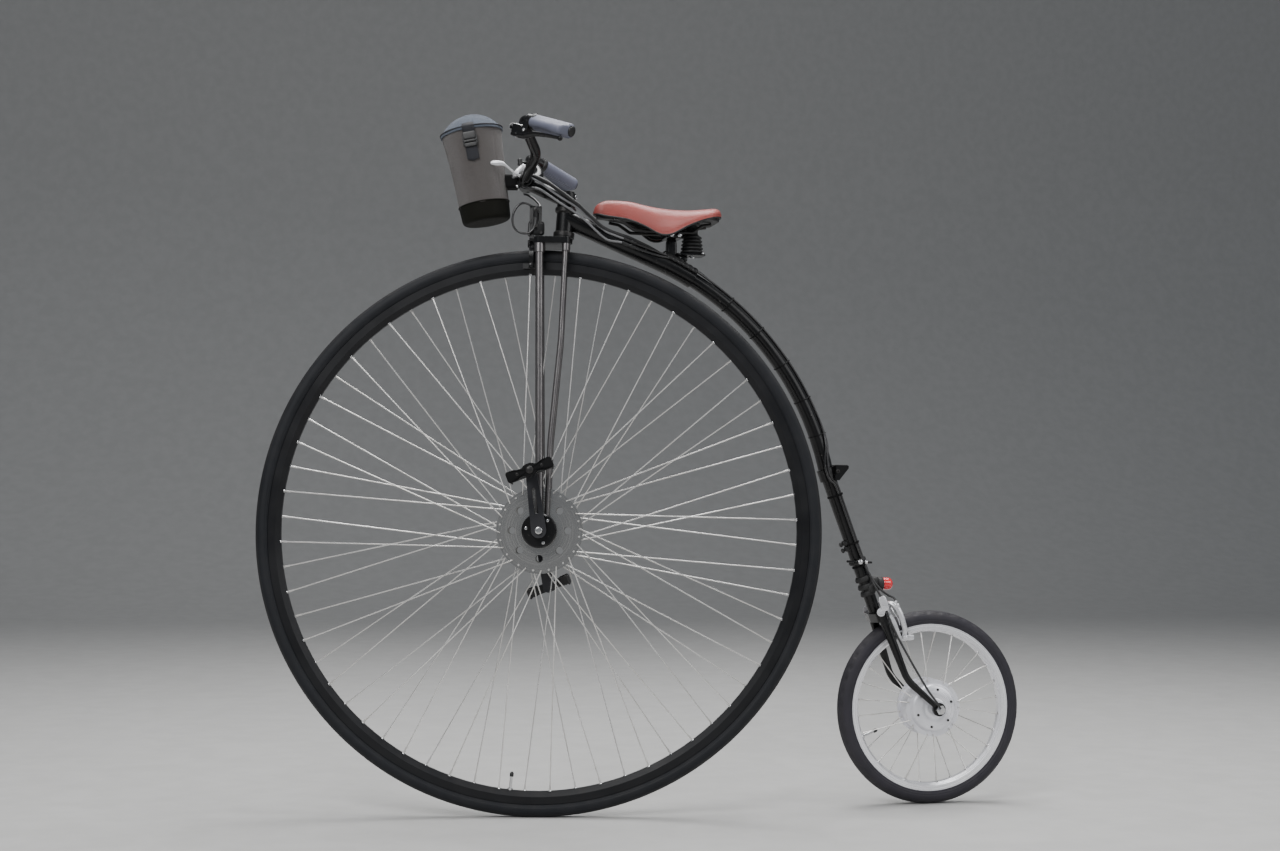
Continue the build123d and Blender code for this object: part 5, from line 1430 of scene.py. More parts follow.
@dataclass
class Cockpit:
    """Handlebar, shaped grips, levers, the small silver lever, the head's cups and the front brake's cable.

    Attributes:
        last: the bar's last bend on the right.
        end: the bar's right end.
        grip_length: the grip's length.
        grip_radius: its radius without its wing.
        clamp: the middle of the bar's clamp.
        crown_top: the crown's top on the steering axis, and its height over the big wheel's hub.
    """

    last: Point = (-42.0, 182.0, 1464.0)
    end: Point = (64.0, 270.0, 1418.0)
    grip_length: float = 106.0
    grip_radius: float = 16.2
    clamp: Point = (-38.0, 0.0, 1368.0)
    crown_top: tuple[float, float] = (1242.0, 632.5)

    def grip_axes(self, side: int) -> tuple[np.ndarray, np.ndarray, np.ndarray, np.ndarray]:
        """A grip's start and its directions: outwards, up and along the bar."""
        flip = np.array([1.0, side, 1.0])
        line = unit(np.array(self.end) - np.array(self.last))
        across = unit((-line[1], line[0], 0.0))
        up = np.cross(line, across)
        start = np.array(self.end) - line * self.grip_length
        return start * flip, across * flip, up * flip, line * flip

    def beside_grip(self, side: int, *places: Point) -> np.ndarray:
        """Points from their distances outwards, up and along the bar from the grip's start."""
        start, *axes = self.grip_axes(side)
        return start + np.asarray(places, float) @ np.stack(axes)

    def head(self, height: float) -> np.ndarray:
        """A point on the steering axis, by its height above the crown's top."""
        top, over_hub = self.crown_top
        return np.array([over_hub * math.tan(RAKE), 0.0, top]) + STEER_LINE * height

    def grip(self, side: int, name: str) -> None:
        """A shaped grip: r = 16.2 + wing e^(-|a / 0.52|^2.2), ribbed along its underside.

        The wing, on the outer side a = -0.1, grows from the front to the rear end as a smooth step, and the
        section flattens there. Ends are rounded.
        """
        start, across, up, line = self.grip_axes(side)
        length, end = self.grip_length, start + line * self.grip_length
        share = np.linspace(0, 1, 90)[:, None]
        angle = np.linspace(-math.pi, math.pi, 72, endpoint=False)[None, :]
        step = share ** 2 * (3 - 2 * share)
        r = self.grip_radius + (4.2 + 19.5 * step) * np.exp(-np.abs((angle + 0.10) / 0.52) ** 2.2)
        r = r - 0.9 * step * np.exp(-((np.abs(angle) - 1.5) / 0.5) ** 2)
        under = np.exp(-((angle + 1.75) / 0.62) ** 4)
        r = r + 0.55 * np.tanh(2.5 * np.sin(share * length / 0.95)) * under
        near_end = np.minimum(share, 1 - share) * length
        curve = np.where(share < 0.5, 3.6, 9.0)
        r = r - curve * (1 - np.sqrt(np.clip(1 - (1 - near_end / curve) ** 2, 0, 1))) * (near_end < curve)
        body = (start + (r * np.cos(angle))[..., None] * across + (r * np.sin(angle))[..., None] * up
                + (share * length * np.ones_like(angle))[..., None] * line)
        rows = [np.broadcast_to(start, body[:1].shape), body, np.broadcast_to(end, body[:1].shape)]
        make_piece(f"grip_rubber_{name}", [Patch(np.concatenate(rows), size=(0.11, 0.112))], Body.STEERING,
                   GRIP_RUBBER, 50, (f"grip_{name}",))
        cap = turned([(0, 2.6), (6, 2.5), (9.4, 1.6), (10.2, 0.0), (10.2, -1.0), (0, -1.0)], end, line, 48)
        ring = turned([(11.3, -2.6), (16.2, -2.6), (17.4, -1.6), (17.6, 0.0), (17.6, 6.2), (16.8, 7.4),
                       (11.3, 7.4), (11.3, -2.6)], start, line, 48)
        screw = bolt(self.beside_grip(side, (0, 17.3, 2.6))[0], up, 2.6, 1.8)
        make_piece(f"grip_end_{name}", [cap, ring, screw], Body.STEERING, BLACK_PLASTIC)

    def lever(self, side: int, name: str) -> None:
        """A flattened blade that curves below the grip to a ball, its pivot and the barrel for the cable."""
        _, across, up, line = self.grip_axes(side)
        path = smooth_line(self.beside_grip(side, (9, -33.5, -44), (10.5, -34.2, -28), (13, -33, -8),
                                            (18.5, -29, 9), (23.5, -24.5, 28), (27, -22, 50), (28, -20.4, 76),
                                            (27, -19.6, 104)), 8)
        half = np.interp(np.linspace(0, 1, len(path)), [0, 0.2, 0.42, 0.8, 1.0], [6.6, 7.2, 6.0, 5.2, 4.2])
        ball = turned([(0, -5.6), (2.2, -5.2), (4.4, -3.6), (5.6, 0), (4.4, 3.6), (2.2, 5.2), (0, 5.6)],
                      path[-1], line, 20)
        hinge_at, pin_at, head_at, clamp_at, barrel_at = self.beside_grip(
            side, (10, -33.8, -36), (8, -38.2, -36), (8, -14.4, -36), (16.2, -20.5, -9), (3, -22, -40))
        hinge = pillow(hinge_at, (7.4, 4.4, 9.5), 0.5, axes=np.stack([across, up, line]))
        make_piece(f"lever_blade_{name}", [tube(path, half, 18, unit(across + 0.9 * up), 0.52), ball, hinge],
                   Body.STEERING, BLACK_PAINT, replaces=(f"lever_{name}",))
        strap = tube(self.beside_grip(side, (9, -25, -52), (9, -18, -53), (9, -13.6, -49), (9, -12.7, -40),
                                      (9, -12.6, -22), (9, -13.2, -6)), 6.2, 16, across, 0.2, steps=6)
        barrel = turned([(0, 0), (4.2, 0), (4.2, 4), (3.2, 5), (3.2, 7.5), (0, 7.5)], barrel_at, -across, 24)
        heads = [bolt(pin_at, -up, 4.2, 2.4), bolt(head_at, up, 4.4, 2.6), bolt(clamp_at, across, 3.4, 2.8)]
        make_piece(f"lever_fittings_{name}", [*heads, strap, barrel], Body.STEERING, BRIGHT_BOLT)

    def small_lever(self) -> None:
        """The silver teardrop lever on the left of the clamp, its silver body, its dark knob and its band."""
        path = smooth_line([(-112, -60, 1397.2), (-106, -60, 1397.8), (-97, -60, 1397), (-88, -60, 1396.2),
                            (-80, -59, 1392.5), (-71, -55, 1385.5), (-62, -50, 1379), (-50, -43, 1373)], 8)
        half = np.interp(np.linspace(0, 7, len(path)), range(8), [3.2, 5.4, 6.0, 4.6, 2.6, 2.2, 2.4, 3.2])
        along = unit((24.0, 0.0, 24.0))
        slanted = np.stack([along, Y, np.cross(along, Y)])
        oblong = pillow((-52.5, -34.0, 1387.0), (17.5, 6.0, 6.4), 0.55, 17, 32, slanted)
        pivot = turned([(0, 6), (4.6, 6), (5.4, 5.2), (5.4, 0), (0, 0)], (-57.0, -39.0, 1381.0), -Y, 24)
        make_piece("small_lever", [tube(path, half, 18, Z, 0.62), oblong, pivot], Body.STEERING, ALUMINIUM)
        knob = turned([(0, 15.5), (3, 15.3), (5.0, 13.6), (5.4, 11), (4.8, 7.5), (5.4, 4), (5.4, 0), (0, 0)],
                      (-49.0, -34.5, 1398.0), np.array([-2.0, 0.0, 13.0]), 24)
        middle = self.clamp + np.array([0.0, -34.0, 0.0])
        loop = middle + 13.0 * np.stack([upright(turn) for turn in once_round(40)])
        ear = pillow((-46.0, -34.0, 1377.0), (11, 5, 8), 0.6, axes=slanted)
        make_piece("small_lever_mount", [knob, tube(loop, 5.0, 12, Y, 0.42, closed=True), ear], Body.STEERING,
                   BLACK_PLASTIC)

    def bolts(self) -> None:
        """Bolts of the bar clamp and of the clamp on the steerer, and the plug on top of it."""
        found = []
        for side in (-1, 1):
            found += [bolt(self.clamp + np.array([-17.5, side * 15.0, rise]), -X, 3.4, 4.0)
                      for rise in (-11.0, 11.0)]
            found += [bolt(self.head(rise) + np.array([17.5, side * 6.0, 0.0]), X * 0.8 + Y * side * 0.6,
                           3.2, 3.4) for rise in (80.0, 94.0)]
        make_piece("cockpit_bolts", [*found, bolt(self.head(105.6), STEER_LINE, 5.5, 3.2)], Body.STEERING,
                   BRIGHT_BOLT)

    def head_cups(self) -> None:
        """Bearing cups of the head: ribbed rings with thin seals."""
        below = [(16, 0), (21.6, 0), (22.8, 0.8), (22.8, 3.0), (21.8, 3.6), (21.8, 4.6), (23.0, 5.4),
                 (23.0, 12.8), (21.4, 14.6), (19.4, 15.4), (19.4, 16)]
        above = [(19.4, 0), (19.6, 0.6), (21.6, 2.0), (23.0, 3.6), (23.0, 10.6), (22.0, 11.6), (22.0, 12.4),
                 (20.6, 13)]
        make_piece("head_cups", [turned(rows, self.head(height), STEER_LINE, 56)
                                 for rows, height in ((below, 2.4), (above, 57.6))], Body.FRAME, DARK_STEEL)

    def lead(self, side: int) -> np.ndarray:
        """The way of a lever's cable along the bar's hidden side, from the lever's barrel to the clamp."""
        rest = np.array([(-32.6, -168.5, 1434.7), (-24, -142, 1416), (-15, -114.7, 1396.8), (-21, -98, 1386),
                         (-31.2, -83.6, 1377), (-42, -60, 1361), (-43.5, -46, 1351.5)])
        return np.concatenate([self.beside_grip(side, (-4, -22, -40), (-8, -21, -41)), rest * [1, -side, 1]])

    def cables(self) -> None:
        """The front brake's cable with its loop ahead of the head, and the left lever's lead to its joint."""
        loop = [(-36, 34, 1347), (-21, 25, 1336), (-9, 13, 1321), (-11, -3, 1311), (-23, -18, 1312),
                (-38, -28, 1317), (-51, -32, 1313), (-62, -33, 1298), (-65.5, -33, 1278), (-60, -33, 1260),
                (-46, -33, 1251), (-30, -33, 1251.5), (-19.5, -32.6, 1262), (-16, -31.8, 1278),
                (-16, -31.6, 1290)]
        front = tube(np.concatenate([self.lead(1), loop]), CABLE, 10, Y, steps=10)
        make_piece("brake_cable_front", [front], Body.STEERING, BLACK_HOUSING,
                   replaces=("front_cable",))
        path = smooth_line(np.concatenate([self.lead(-1), [(-34, -33, 1350.5), (-24, -30.5, 1350)]]), 10)
        joint = turned([(0, 0), (3.4, 0), (3.6, 1), (3.6, 11), (3.0, 12), (0, 12)], path[-1] - X * 6,
                       path[-1] - path[-6], 20)
        make_piece("brake_cable_lead", [tube(path, CABLE, 10, Y), joint], Body.STEERING, BLACK_HOUSING)

    def front_fittings(self) -> None:
        """The front brake's arm with its cable stop and return spring, and its anchor and pad bolts."""
        arm = pillow((-16.0, -30.5, 1283.0), (5.5, 2.6, 26.0), 0.45, 17, 24)
        stop = turned([(0, 0), (4.4, 0), (4.4, 6), (3.4, 7), (3.4, 13), (0, 13)],
                      (-16.0, -31.8, 1287.0), Z, 20)
        spring = tube([(-26, -12, 1244), (-32, -20, 1250), (-31, -27, 1262), (-30, -30.6, 1274),
                       (-24, -31.5, 1281)], 1.0, 8, Y, steps=8)
        cheek = pillow((-9.0, -29.0, 1262.0), (13.0, 2.4, 16.0), 0.5)
        make_piece("front_brake_arm", [arm, stop, cheek, spring], Body.STEERING, BLACK_PAINT)
        found = [bolt((x, -33.0, z), -Y, r, 3.4, hexed) for x, z, r, hexed in (
            (-16, 1303, 4.0, True), (-15, 1267, 3.4, False), (-4, 1252, 3.0, True))]
        found += [bolt((-24.0, side * 41.2, 1180.0), Y * side, 4.4, 4.0, True) for side in (-1, 1)]
        make_piece("front_brake_bolts", found, Body.STEERING, DARK_STEEL)

    def build(self) -> None:
        """Builds the handlebar's pieces."""
        finish_nodes({BLACK_PAINT: "handlebar"})
        eased("stem", Body.STEERING, BLACK_PAINT, 1.6)
        eased("brake_perches", Body.STEERING, BLACK_PAINT, 1.6)
        for side, name in SIDES:
            self.grip(side, name)
            self.lever(side, name)
        self.small_lever()
        self.bolts()
        self.head_cups()
        self.cables()
        self.front_fittings()


# Frame and rear end


BESIDE_CABLES = 22.9
BAND_LUMP = 5.4
HOOP_POINTS = 48


@dataclass
class Chassis:
    """Painted tubes, eased brakes and step, the lamp, and the cables that run to the rear.

    Attributes:
        centre: the middle of the backbone's arc.
        radius: the arc's radius.
        meet: the arc's angle in degrees where the straight front section starts.
        low_start: the lower tube's upper end.
        low_end: the lower tube's lower end.
        low_taper: its radius lost over its length.
        low_fall: its drop over its length.
    """

    centre: Point = (14.0, 0.0, 597.5)
    radius: float = 654.0
    meet: float = 67.89
    low_start: Point = (649.4, 0.0, 752.4)
    low_end: Point = (768.0, 0.0, 432.0)
    low_taper: float = 3 / 341.6
    low_fall: float = 0.938

    def beside(self, places: "list[Point] | np.ndarray") -> np.ndarray:
        """Points beside the backbone, from (station, turn, out).

        The station is the arc's angle in degrees; past the angle where the straight front section starts it
        goes on along that section. Turn is the angle round the tube from its left side up towards its top.
        """
        station, turn, out = np.asarray(places, float).T
        bent = np.radians(np.minimum(station, self.meet))
        past = np.radians(np.maximum(station - self.meet, 0.0)) * self.radius
        normal = np.stack([np.cos(bent), 0 * bent, np.sin(bent)], axis=1)
        ahead = np.stack([-np.sin(bent), 0 * bent, np.cos(bent)], axis=1)
        middle = np.array(self.centre) + self.radius * normal + past[:, None] * ahead
        turn = np.radians(turn)[:, None]
        return middle + out[:, None] * (np.sin(turn) * normal - np.cos(turn) * Y)

    def low(self, places: "list[Point] | np.ndarray") -> np.ndarray:
        """Points by the lower tube: the length down it, the distance behind its middle and the height y."""
        length, behind, side = np.asarray(places, float).T
        line = unit(np.array(self.low_end) - np.array(self.low_start))
        rear = np.array([-line[2], 0.0, line[0]])
        return np.array(self.low_start) + length[:, None] * line + behind[:, None] * rear + side[:, None] * Y

    def hoop(self, length: float, reach: "float | np.ndarray", thick: float, sides: int,
             flat: float) -> Patch:
        """A flat band round the lower tube, at a length down it and at a distance from its middle."""
        turn = once_round(HOOP_POINTS)
        along = np.full(HOOP_POINTS, length)
        ring = self.low(np.stack([along, reach * np.sin(turn), -reach * np.cos(turn)], axis=1))
        return tube(ring, thick, sides, Z, flat, closed=True)

    @staticmethod
    def over_head(name: str, cable: Patch, start: Point, end: Point, finish: Finish, slot: str) -> None:
        """Adds a cable over the head as one piece fixed where it stands, on no body; its start point, turned
        with the steering, and its end point are passed on as the crossing.
        """
        make_piece(name, [cable], Body.FRAME, finish, crossing=np.array([steer([start])[0], end]))

    def cables(self) -> None:
        """The cables to the rear brake and to the motor: light grey over the head, a painted highlight of the
        black cables' sheen there, and black behind their joiners.

        Each light length is steered as far as the head and stands in the frame's own place from there on. A
        black loom lies over both.
        """
        crossing = np.array([(70, -30, 1309), (92, -28.8, 1293), (108, -27, 1280), (124, -24.8, 1268),
                             (140, -22.6, 1259)])
        below = crossing + np.array([0.0, 0.0, -14.0]) * [[1], [1.05], [1.1], [1.15], [1.15]]
        upper = [(-66, -40, 1371), (-54, -31, 1374), (-34, -29, 1375), (-8, -28, 1363), (20, -28.5, 1343),
                 (44, -29, 1327)]
        lower = [(-24, -30.5, 1350), (-8, -28.5, 1348), (20, -28.5, 1330), (44, -29, 1314)]
        near, far = BESIDE_CABLES, 19.3
        brake = [(72.5, 4, near), (69, 18, near), (66, 40, near), (62.6, 44, near), (60.2, 52, 22.6),
                 (58.0, 64, 20.4), (55, 76, far), *((a, 78, far) for a in range(50, 24, -5)), (21, 60, far),
                 (18.0, 25, 19.6), (15.0, -14, 19.8)]
        brake_low = [(8, -7, -19.8), (24, -5, -19.8), (42, 3.0, -18.8), (80, 4.0, -17.8), (150, 4.6, -17.2),
                     (210, 6.0, -16.8), (262, 12.0, -19.0), (296, 22.0, -25.0)]
        brake_end = [(788, -31, 470), (800, -33, 464), (806, -33, 456)]
        motor = [(72.5, 30, near), (69, 40, near), (66, 55, near), (62.6, 58, near), (60.2, 68, 22.6),
                 (58.0, 80, 20.4), (55, 92, far), *((a, 94, far) for a in range(50, 24, -5)), (21, 78, far),
                 (18.0, 42, 19.6), (15.0, 4, 19.8)]
        motor_low = [(8, -1.4, -20.4), (24, 0.6, -20.0), (42, 8.6, -16.8), (80, 9.4, -15.6),
                     (150, 9.6, -15.0), (210, 10.0, -14.6), (270, 11.0, -19.0), (318, 15.0, -34.0)]
        motor_end = [(783, -44, 426), (800, -57, 380), (834, -66, 316), (866, -72, 262), (888, -75, 232),
                     (897, -72, 217)]
        joiners = []
        for name, turn, steered, fixed, rear, down, end, node in (
                ("brake_cable", -3, lower, below, brake, brake_low, brake_end, ("rear_cable",)),
                ("motor_cable", 23, upper, crossing, motor, motor_low, motor_end, ())):
            joint = self.beside([(76.4, turn, near), (73.6, turn + 5, near)])
            light = tube(np.concatenate([steer(steered), fixed, joint]), CABLE, 10, Y, steps=8)
            # the lengths over the head are painted light grey: painted highlight
            self.over_head(name + "_head", light, (20, -28.5, 1343), (124, -24.5, 1264),
                           PAINTED_HIGHLIGHT_HOUSING, "cable_grey")
            path = np.concatenate([joint, self.beside(rear), self.low(down), end])
            make_piece(name + "_rear", [tube(path, CABLE, 10, Y, steps=8)], Body.FRAME, BLACK_HOUSING,
                       replaces=node)
            joiners.append(turned([(0, 0), (3.0, 0), (4.4, 1.6), (4.4, 11), (3.8, 12), (3.8, 18), (4.4, 19),
                                   (4.4, 30), (3.0, 32), (0, 32)], joint[0], joint[1] - joint[0], 24))
        line = smooth_line(np.concatenate([
            steer([(-52, -20, 1376), (-40, -23, 1381), (-20, -26, 1377), (4, -28, 1366), (24, -29, 1353)]),
            [(64, -30.5, 1320), (83, -30, 1304), (101, -28.5, 1289.5), (124, -25.5, 1271.5),
             (147, -20, 1262)],
            self.beside([(75.5, 48, 22.4), (73, 54, 21.4), (70.5, 58, 20.4), (68.6, 60, 19.0)])]), 8)
        thick = np.interp(np.linspace(0, 1, len(line)), [0, 0.05, 0.9, 1], [2.6, 4.4, 4.4, 3.0])
        self.over_head("cable_loom", tube(line, thick, 12, Y), (20, -28.5, 1352), (124, -24.5, 1272),
                       BLACK_PLASTIC, "black_rubber")
        make_piece("cable_joiners", joiners, Body.FRAME, BLACK_PLASTIC)

    def ties(self) -> None:
        """Ribbed sleeves on the cables by the front section's end, and bands that hold them to the tubes."""
        share = np.linspace(0, 1, 120)
        swell = np.abs(np.sin(share * 6 * math.pi)) ** 0.6
        ends = np.minimum(1.0, np.minimum(share, 1 - share) / 0.02)
        thick = (3.3 + 1.9 * swell) * (0.8 + 0.2 * ends)
        sleeves = []
        for turn in (42.5, 57.0):
            path = np.stack([67.2 - 6.6 * share, 0 * share + turn, 0 * share + BESIDE_CABLES], axis=1)
            sleeves.append(tube(self.beside(path), thick, 14, Y))
        make_piece("cable_ribs", sleeves, Body.FRAME, BLACK_PLASTIC)
        bands = []
        for station in (52.0, 44.0, 36.0, 28.0, 20.5):
            loop = self.beside([(station, t, 17.1 + BAND_LUMP * math.exp(-((t - 86) / 24) ** 4))
                                for t in np.linspace(0, 360, HOOP_POINTS, endpoint=False)])
            bands.append(tube(loop, 1.8, 10, X, 0.3, closed=True))
        turn = once_round(HOOP_POINTS)
        for length in (64.0, 178.0, 232.0):
            lump = sum(BAND_LUMP * np.exp(-((turn - middle) / 0.5) ** 4)
                       for middle in (0.4, 0.4 + 2 * math.pi))
            bands.append(self.hoop(length, 17.0 - self.low_taper * length + lump, 2.4, 10, 0.36))
        make_piece("cable_bands", bands, Body.FRAME, BAND_RUBBER)

    def lower_fittings(self) -> None:
        """The knobs, the clamp with its cross pin and the sleeve on the lower tube."""
        knobs = []
        for height, reach in ((590.0, 9.0), (577.0, 8.0)):
            length = (self.low_start[2] - height) / self.low_fall
            seat, behind = self.low([(length, -14.0, -3.0), (length, -30.0, -3.0)])
            knobs.append(turned([(0, 15), (3.6, 14.8), (5.4, 12.6), (5.4, 10), (3.4, 8.2), (3.0, 0), (0, 0)],
                                seat, behind - seat, 20))
            knobs.append(pillow(seat, (reach, 6, 6), 0.6))
        knobs.append(self.hoop(221.0, 17.4, 5.2, 12, 0.5))
        make_piece("tube_clamp", knobs, Body.FRAME, BLACK_PLASTIC)
        pin = tube([(694.0, -19.5, 545.0), (722.0, -20.5, 544.0), (753.0, -19.5, 543.0)], 2.7, 12, Y)
        head = turned([(0, 6), (4.6, 6), (5.2, 5), (5.2, 0), (0, 0)], (736.0, -20.0, 543.5), X, 20)
        make_piece("tube_clamp_pin", [pin], Body.FRAME, BLACK_PAINT)
        make_piece("tube_clamp_nut", [head, bolt((725.0, -21.0, 544.0), -Y, 5.0, 4.0, True)], Body.FRAME,
                   BRIGHT_BOLT)

    def rear_fittings(self) -> None:
        """The rear caliper's curved arms, pad holders, pivots, brackets, bolt, anchor and wire."""
        found = []
        along = unit((46.0, 0.0, 2.0))
        holder = np.stack([along, Y, np.cross(along, Y)])
        for side in (-1, 1):
            arm = smooth_line([(786, side * 8, 449), (796, side * 24, 452), (805, side * 33, 446),
                               (813, side * 38, 432), (820, side * 39.5, 412), (826, side * 36.5, 392),
                               (827, side * 31, 378)], 8)
            half = np.interp(np.linspace(0, 1, len(arm)), [0, 0.25, 0.6, 1], [8.0, 7.6, 6.4, 5.6])
            found += [tube(arm, half, 16, X, 0.62),
                      pillow((829.0, side * 27.0, 374.5), (23.0, 3.2, 6.4), 0.45, 15, 28, holder),
                      bolt((827.0, side * 36.0, 376.0), Y * side, 4.8, 4.4, True),
                      turned([(0, 4.5), (3.4, 4.5), (4.0, 3.4, 1), (7.0, 3.4, 1), (7.0, 1.2, 1), (9.6, 1.0),
                              (9.6, 0), (0, 0)], (766.0, side * 43.6, 433.0), Y * side, 36),
                      pillow((772.0, side * 45.6, 452.0), (9.0, 1.8, 17.0), 0.5, 15, 24,
                             np.array([(0.94, 0, 0.34), Y, (-0.34, 0, 0.94)]))]
        found += [turned([(0, 12), (5.4, 12), (6.2, 11), (6.2, 6, 1), (8.6, 6, 1), (8.6, 0, 1), (0, 0)],
                         (789.0, 0.0, 440.0), np.array([0.938, 0.0, 0.347]), 24),
                  tube([(806, -33, 458), (803, -33, 449), (806, -34, 442)], 3.6, 12, Y, steps=6),
                  bolt((806.0, -36.5, 447.0), -Y, 5.2, 4.2, True),
                  tube([(790, -10, 436), (796, -22, 446), (801, -31, 432), (809, -38, 418), (812, -41, 404)],
                       1.0, 8, Y, steps=8)]
        make_piece("rear_brake_arms", found, Body.FRAME, ALUMINIUM)

    def lamp(self) -> None:
        """The lamp's deep lens with its ribs, its hood, the rubber block behind it and three straps."""
        place = (784.0, 0.0, 494.6)
        rows = [(0, 25.6), (4, 25.4), (8, 24.3), (11, 22.2), (13.0, 19.0), (13.9, 15.0)]
        for k in range(5):
            rows += [(14.0, 13.4 - 3 * k), (13.5, 12.4 - 3 * k), (14.0, 11.4 - 3 * k)]
        make_piece("lamp_lens", [turned([*rows, (13.0, -2), (0, -2)], place, X, 56)], Body.FRAME, RED_LENS,
                   30, ("tail_lens",))
        hood = turned([(0, -12), (12, -12), (15.0, -9.5), (15.6, -6), (15.6, 0.5), (14.9, 1.4), (14.3, 1.4),
                       (14.3, -1), (0, -1)], place, X, 48)
        straps = [self.hoop(length, 16.0 + grow, 6.0, 14, 0.34)
                  for length, grow in ((262.0, 0.6), (280.0, 0.4), (296.0, -0.2))]
        lump = [pillow((762.0, 0.0, 494.0), (13.0, 13.5, 17.0), 0.6, 15, 28),
                pillow((755.0, -9.0, 484.0), (11.0, 11.0, 12.0), 0.7, 13, 24)]
        make_piece("lamp_mount", [hood, *straps, *lump], Body.FRAME, SOFT_RUBBER, 40,
                   ("tail_lamp",))

    def step(self) -> None:
        """Cross ridges on the mounting step, and the bolts of its ring."""
        x, _, z = self.low_start
        ridges = [tube([(x + dx, -23.5, z + 7.4), (x + dx, 23.5, z + 7.4)], 1.5, 10, Z)
                  for dx in np.linspace(22.0, 43.0, 5)]
        make_piece("step_ridges", ridges, Body.FRAME, SOFT_RUBBER)
        heads = [bolt((x + 20.0, side * 26.2, z - 6.0), Y * side, 4.4, 3.4) for side in (-1, 1)]
        make_piece("step_bolts", heads, Body.FRAME, DARK_STEEL)

    def build(self) -> None:
        """Dresses the frame's nodes and adds the small pieces."""
        finish_nodes(
            {BLACK_PAINT: "backbone backbone_front head_tube lower_tube rear_blade_left rear_blade_right",
             BRIGHT_BOLT: "rear_axle", SOFT_RUBBER: "rear_brake_pads front_brake_pads",
             FORK_METAL: "fork_left fork_right"})
        eased("rear_crown", Body.FRAME, BLACK_PAINT, 1.4)
        eased("mounting_step", Body.FRAME, BLACK_PAINT, 1.2)
        eased("rear_brake", Body.FRAME, ALUMINIUM, 1.6)
        eased("fork_crown", Body.STEERING, BLACK_PAINT, 1.8)
        eased("front_brake", Body.STEERING, BLACK_PAINT, 1.6)
        self.cables()
        self.ties()
        self.lower_fittings()
        self.rear_fittings()
        self.lamp()
        self.step()


# Studio


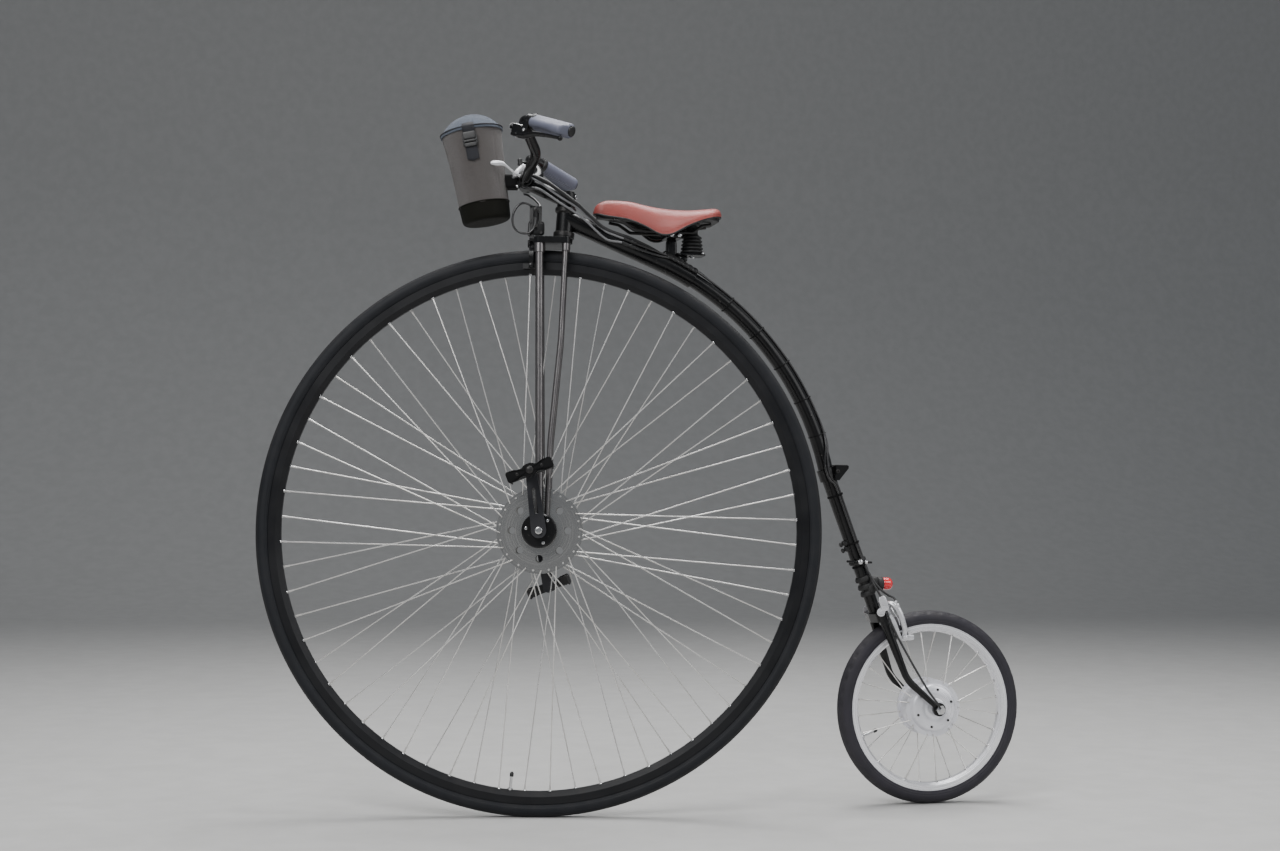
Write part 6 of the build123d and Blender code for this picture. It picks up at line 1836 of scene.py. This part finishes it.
@dataclass
class Studio:
    """The pale floor, the soft lights and the camera.

    Attributes:
        camera: the camera's place.
        yaw: its turn about Z in degrees.
        pitch: its turn about X in degrees.
        roll: its turn about Y in degrees.
        focal_pixels: its focal length in pixels of the picture.
        frame_width: the picture's width in pixels.
        floor_start: the floor's near edge.
        bend_start: where the floor starts to curve up.
        bend_radius: the curve's radius.
        wall_top: the wall's height.
    """

    camera: Point = (-650.2, -3620.5, 654.3)
    yaw: float = -13.51
    pitch: float = 2.87
    roll: float = -0.51
    focal_pixels: float = 1700.0
    frame_width: float = 1280.0
    floor_start: float = -30000.0
    bend_start: float = 6500.0
    bend_radius: float = 4000.0
    wall_top: float = 16000.0

    def floor(self) -> None:
        """A floor that curves up into a backdrop: flat, then a quarter circle, then a wall."""
        bend = np.linspace(0, math.pi / 2, 12)
        flat = np.linspace(self.floor_start, self.bend_start - 500, 24)
        back = np.concatenate([flat, self.bend_start + self.bend_radius * np.sin(bend),
                               [self.bend_start + self.bend_radius]])
        height = np.concatenate([0 * flat, self.bend_radius * (1 - np.cos(bend)), [self.wall_top]])
        side = np.linspace(self.floor_start, -self.floor_start, 16)
        points = np.stack(np.broadcast_arrays(side[None, :], back[:, None], height[:, None]), axis=2)
        mesh = bpy.data.meshes.new("studio_floor")
        faces = Patch(points, around=False).quads()[0]
        mesh.from_pydata(((points - SEAT) / METRE).reshape(-1, 3).tolist(), [], faces.tolist())
        mesh.polygons.foreach_set("use_smooth", np.ones(len(mesh.polygons), bool))
        FLOOR.cover(mesh)
        add_object("studio_floor", mesh)

    def light(self, name: str, place: Point, aim: Point, size: float, power: float) -> None:
        """A square soft light that looks at a point, both in metres from the seat point."""
        lamp = bpy.data.lights.new(name, "AREA")
        lamp.shape = "SQUARE"
        lamp.size = size
        lamp.energy = power
        holder = add_object(name, lamp)
        holder.location = place
        holder.rotation_euler = (Vector(place) - Vector(aim)).to_track_quat("Z", "Y").to_euler()

    def lights(self) -> None:
        """A pale world and three large lights."""
        world = bpy.data.worlds.new("studio")
        world.use_nodes = True
        colour, strength = world.node_tree.nodes["Background"].inputs[:2]
        colour.default_value = (0.86, 0.92, 1.0, 1)
        strength.default_value = 0.26
        bpy.context.scene.world = world
        self.light("key", (-2.6, -3.4, 2.6), (0.0, 0.0, -0.6), 2.6, 210)
        self.light("fill", (3.4, -2.8, 1.2), (0.2, 0.0, -0.7), 3.0, 60)
        self.light("top", (0.4, 0.6, 3.2), (0.1, 0.0, -0.7), 3.0, 260)

    def look(self) -> None:
        """The camera that was fitted to the photograph: turned by yaw, pitch and roll about its own place."""
        cy, sy = math.cos(math.radians(self.yaw)), math.sin(math.radians(self.yaw))
        cp, sp = math.cos(math.radians(self.pitch)), math.sin(math.radians(self.pitch))
        cr, sr = math.cos(math.radians(self.roll)), math.sin(math.radians(self.roll))
        turn = (np.array([[cy, -sy, 0], [sy, cy, 0], [0, 0, 1]])
                @ np.array([[1, 0, 0], [0, cp, -sp], [0, sp, cp]])
                @ np.array([[cr, 0, sr], [0, 1, 0], [-sr, 0, cr]]))
        data = bpy.data.cameras.new("photo_camera")
        data.sensor_width = 36.0
        data.lens = self.focal_pixels / self.frame_width * data.sensor_width
        data.clip_end = 60.0
        camera = add_object("photo_camera", data)
        matrix = np.eye(4)
        matrix[:3, :3] = np.stack([turn[:, 0], turn[:, 2], -turn[:, 1]], axis=1)
        matrix[:3, 3] = (np.array(self.camera) - SEAT) / METRE
        camera.matrix_world = Matrix(matrix.tolist())
        bpy.context.scene.camera = camera

    def build(self) -> None:
        """Sets up the studio."""
        self.floor()
        self.lights()
        self.look()


def main() -> None:
    """Builds every part of the scene in order."""
    logging.basicConfig(level=logging.INFO, format="%(message)s")
    for part in (Studio(), Wheels(), Drive(), Chassis(), Cockpit(), Saddle(), Bag()):
        before = len(bpy.data.objects)
        part.build()
        LOG.info("%s: %d objects", type(part).__name__, len(bpy.data.objects) - before)
    bpy.context.view_layer.update()


if __name__ == "__main__":
    main()
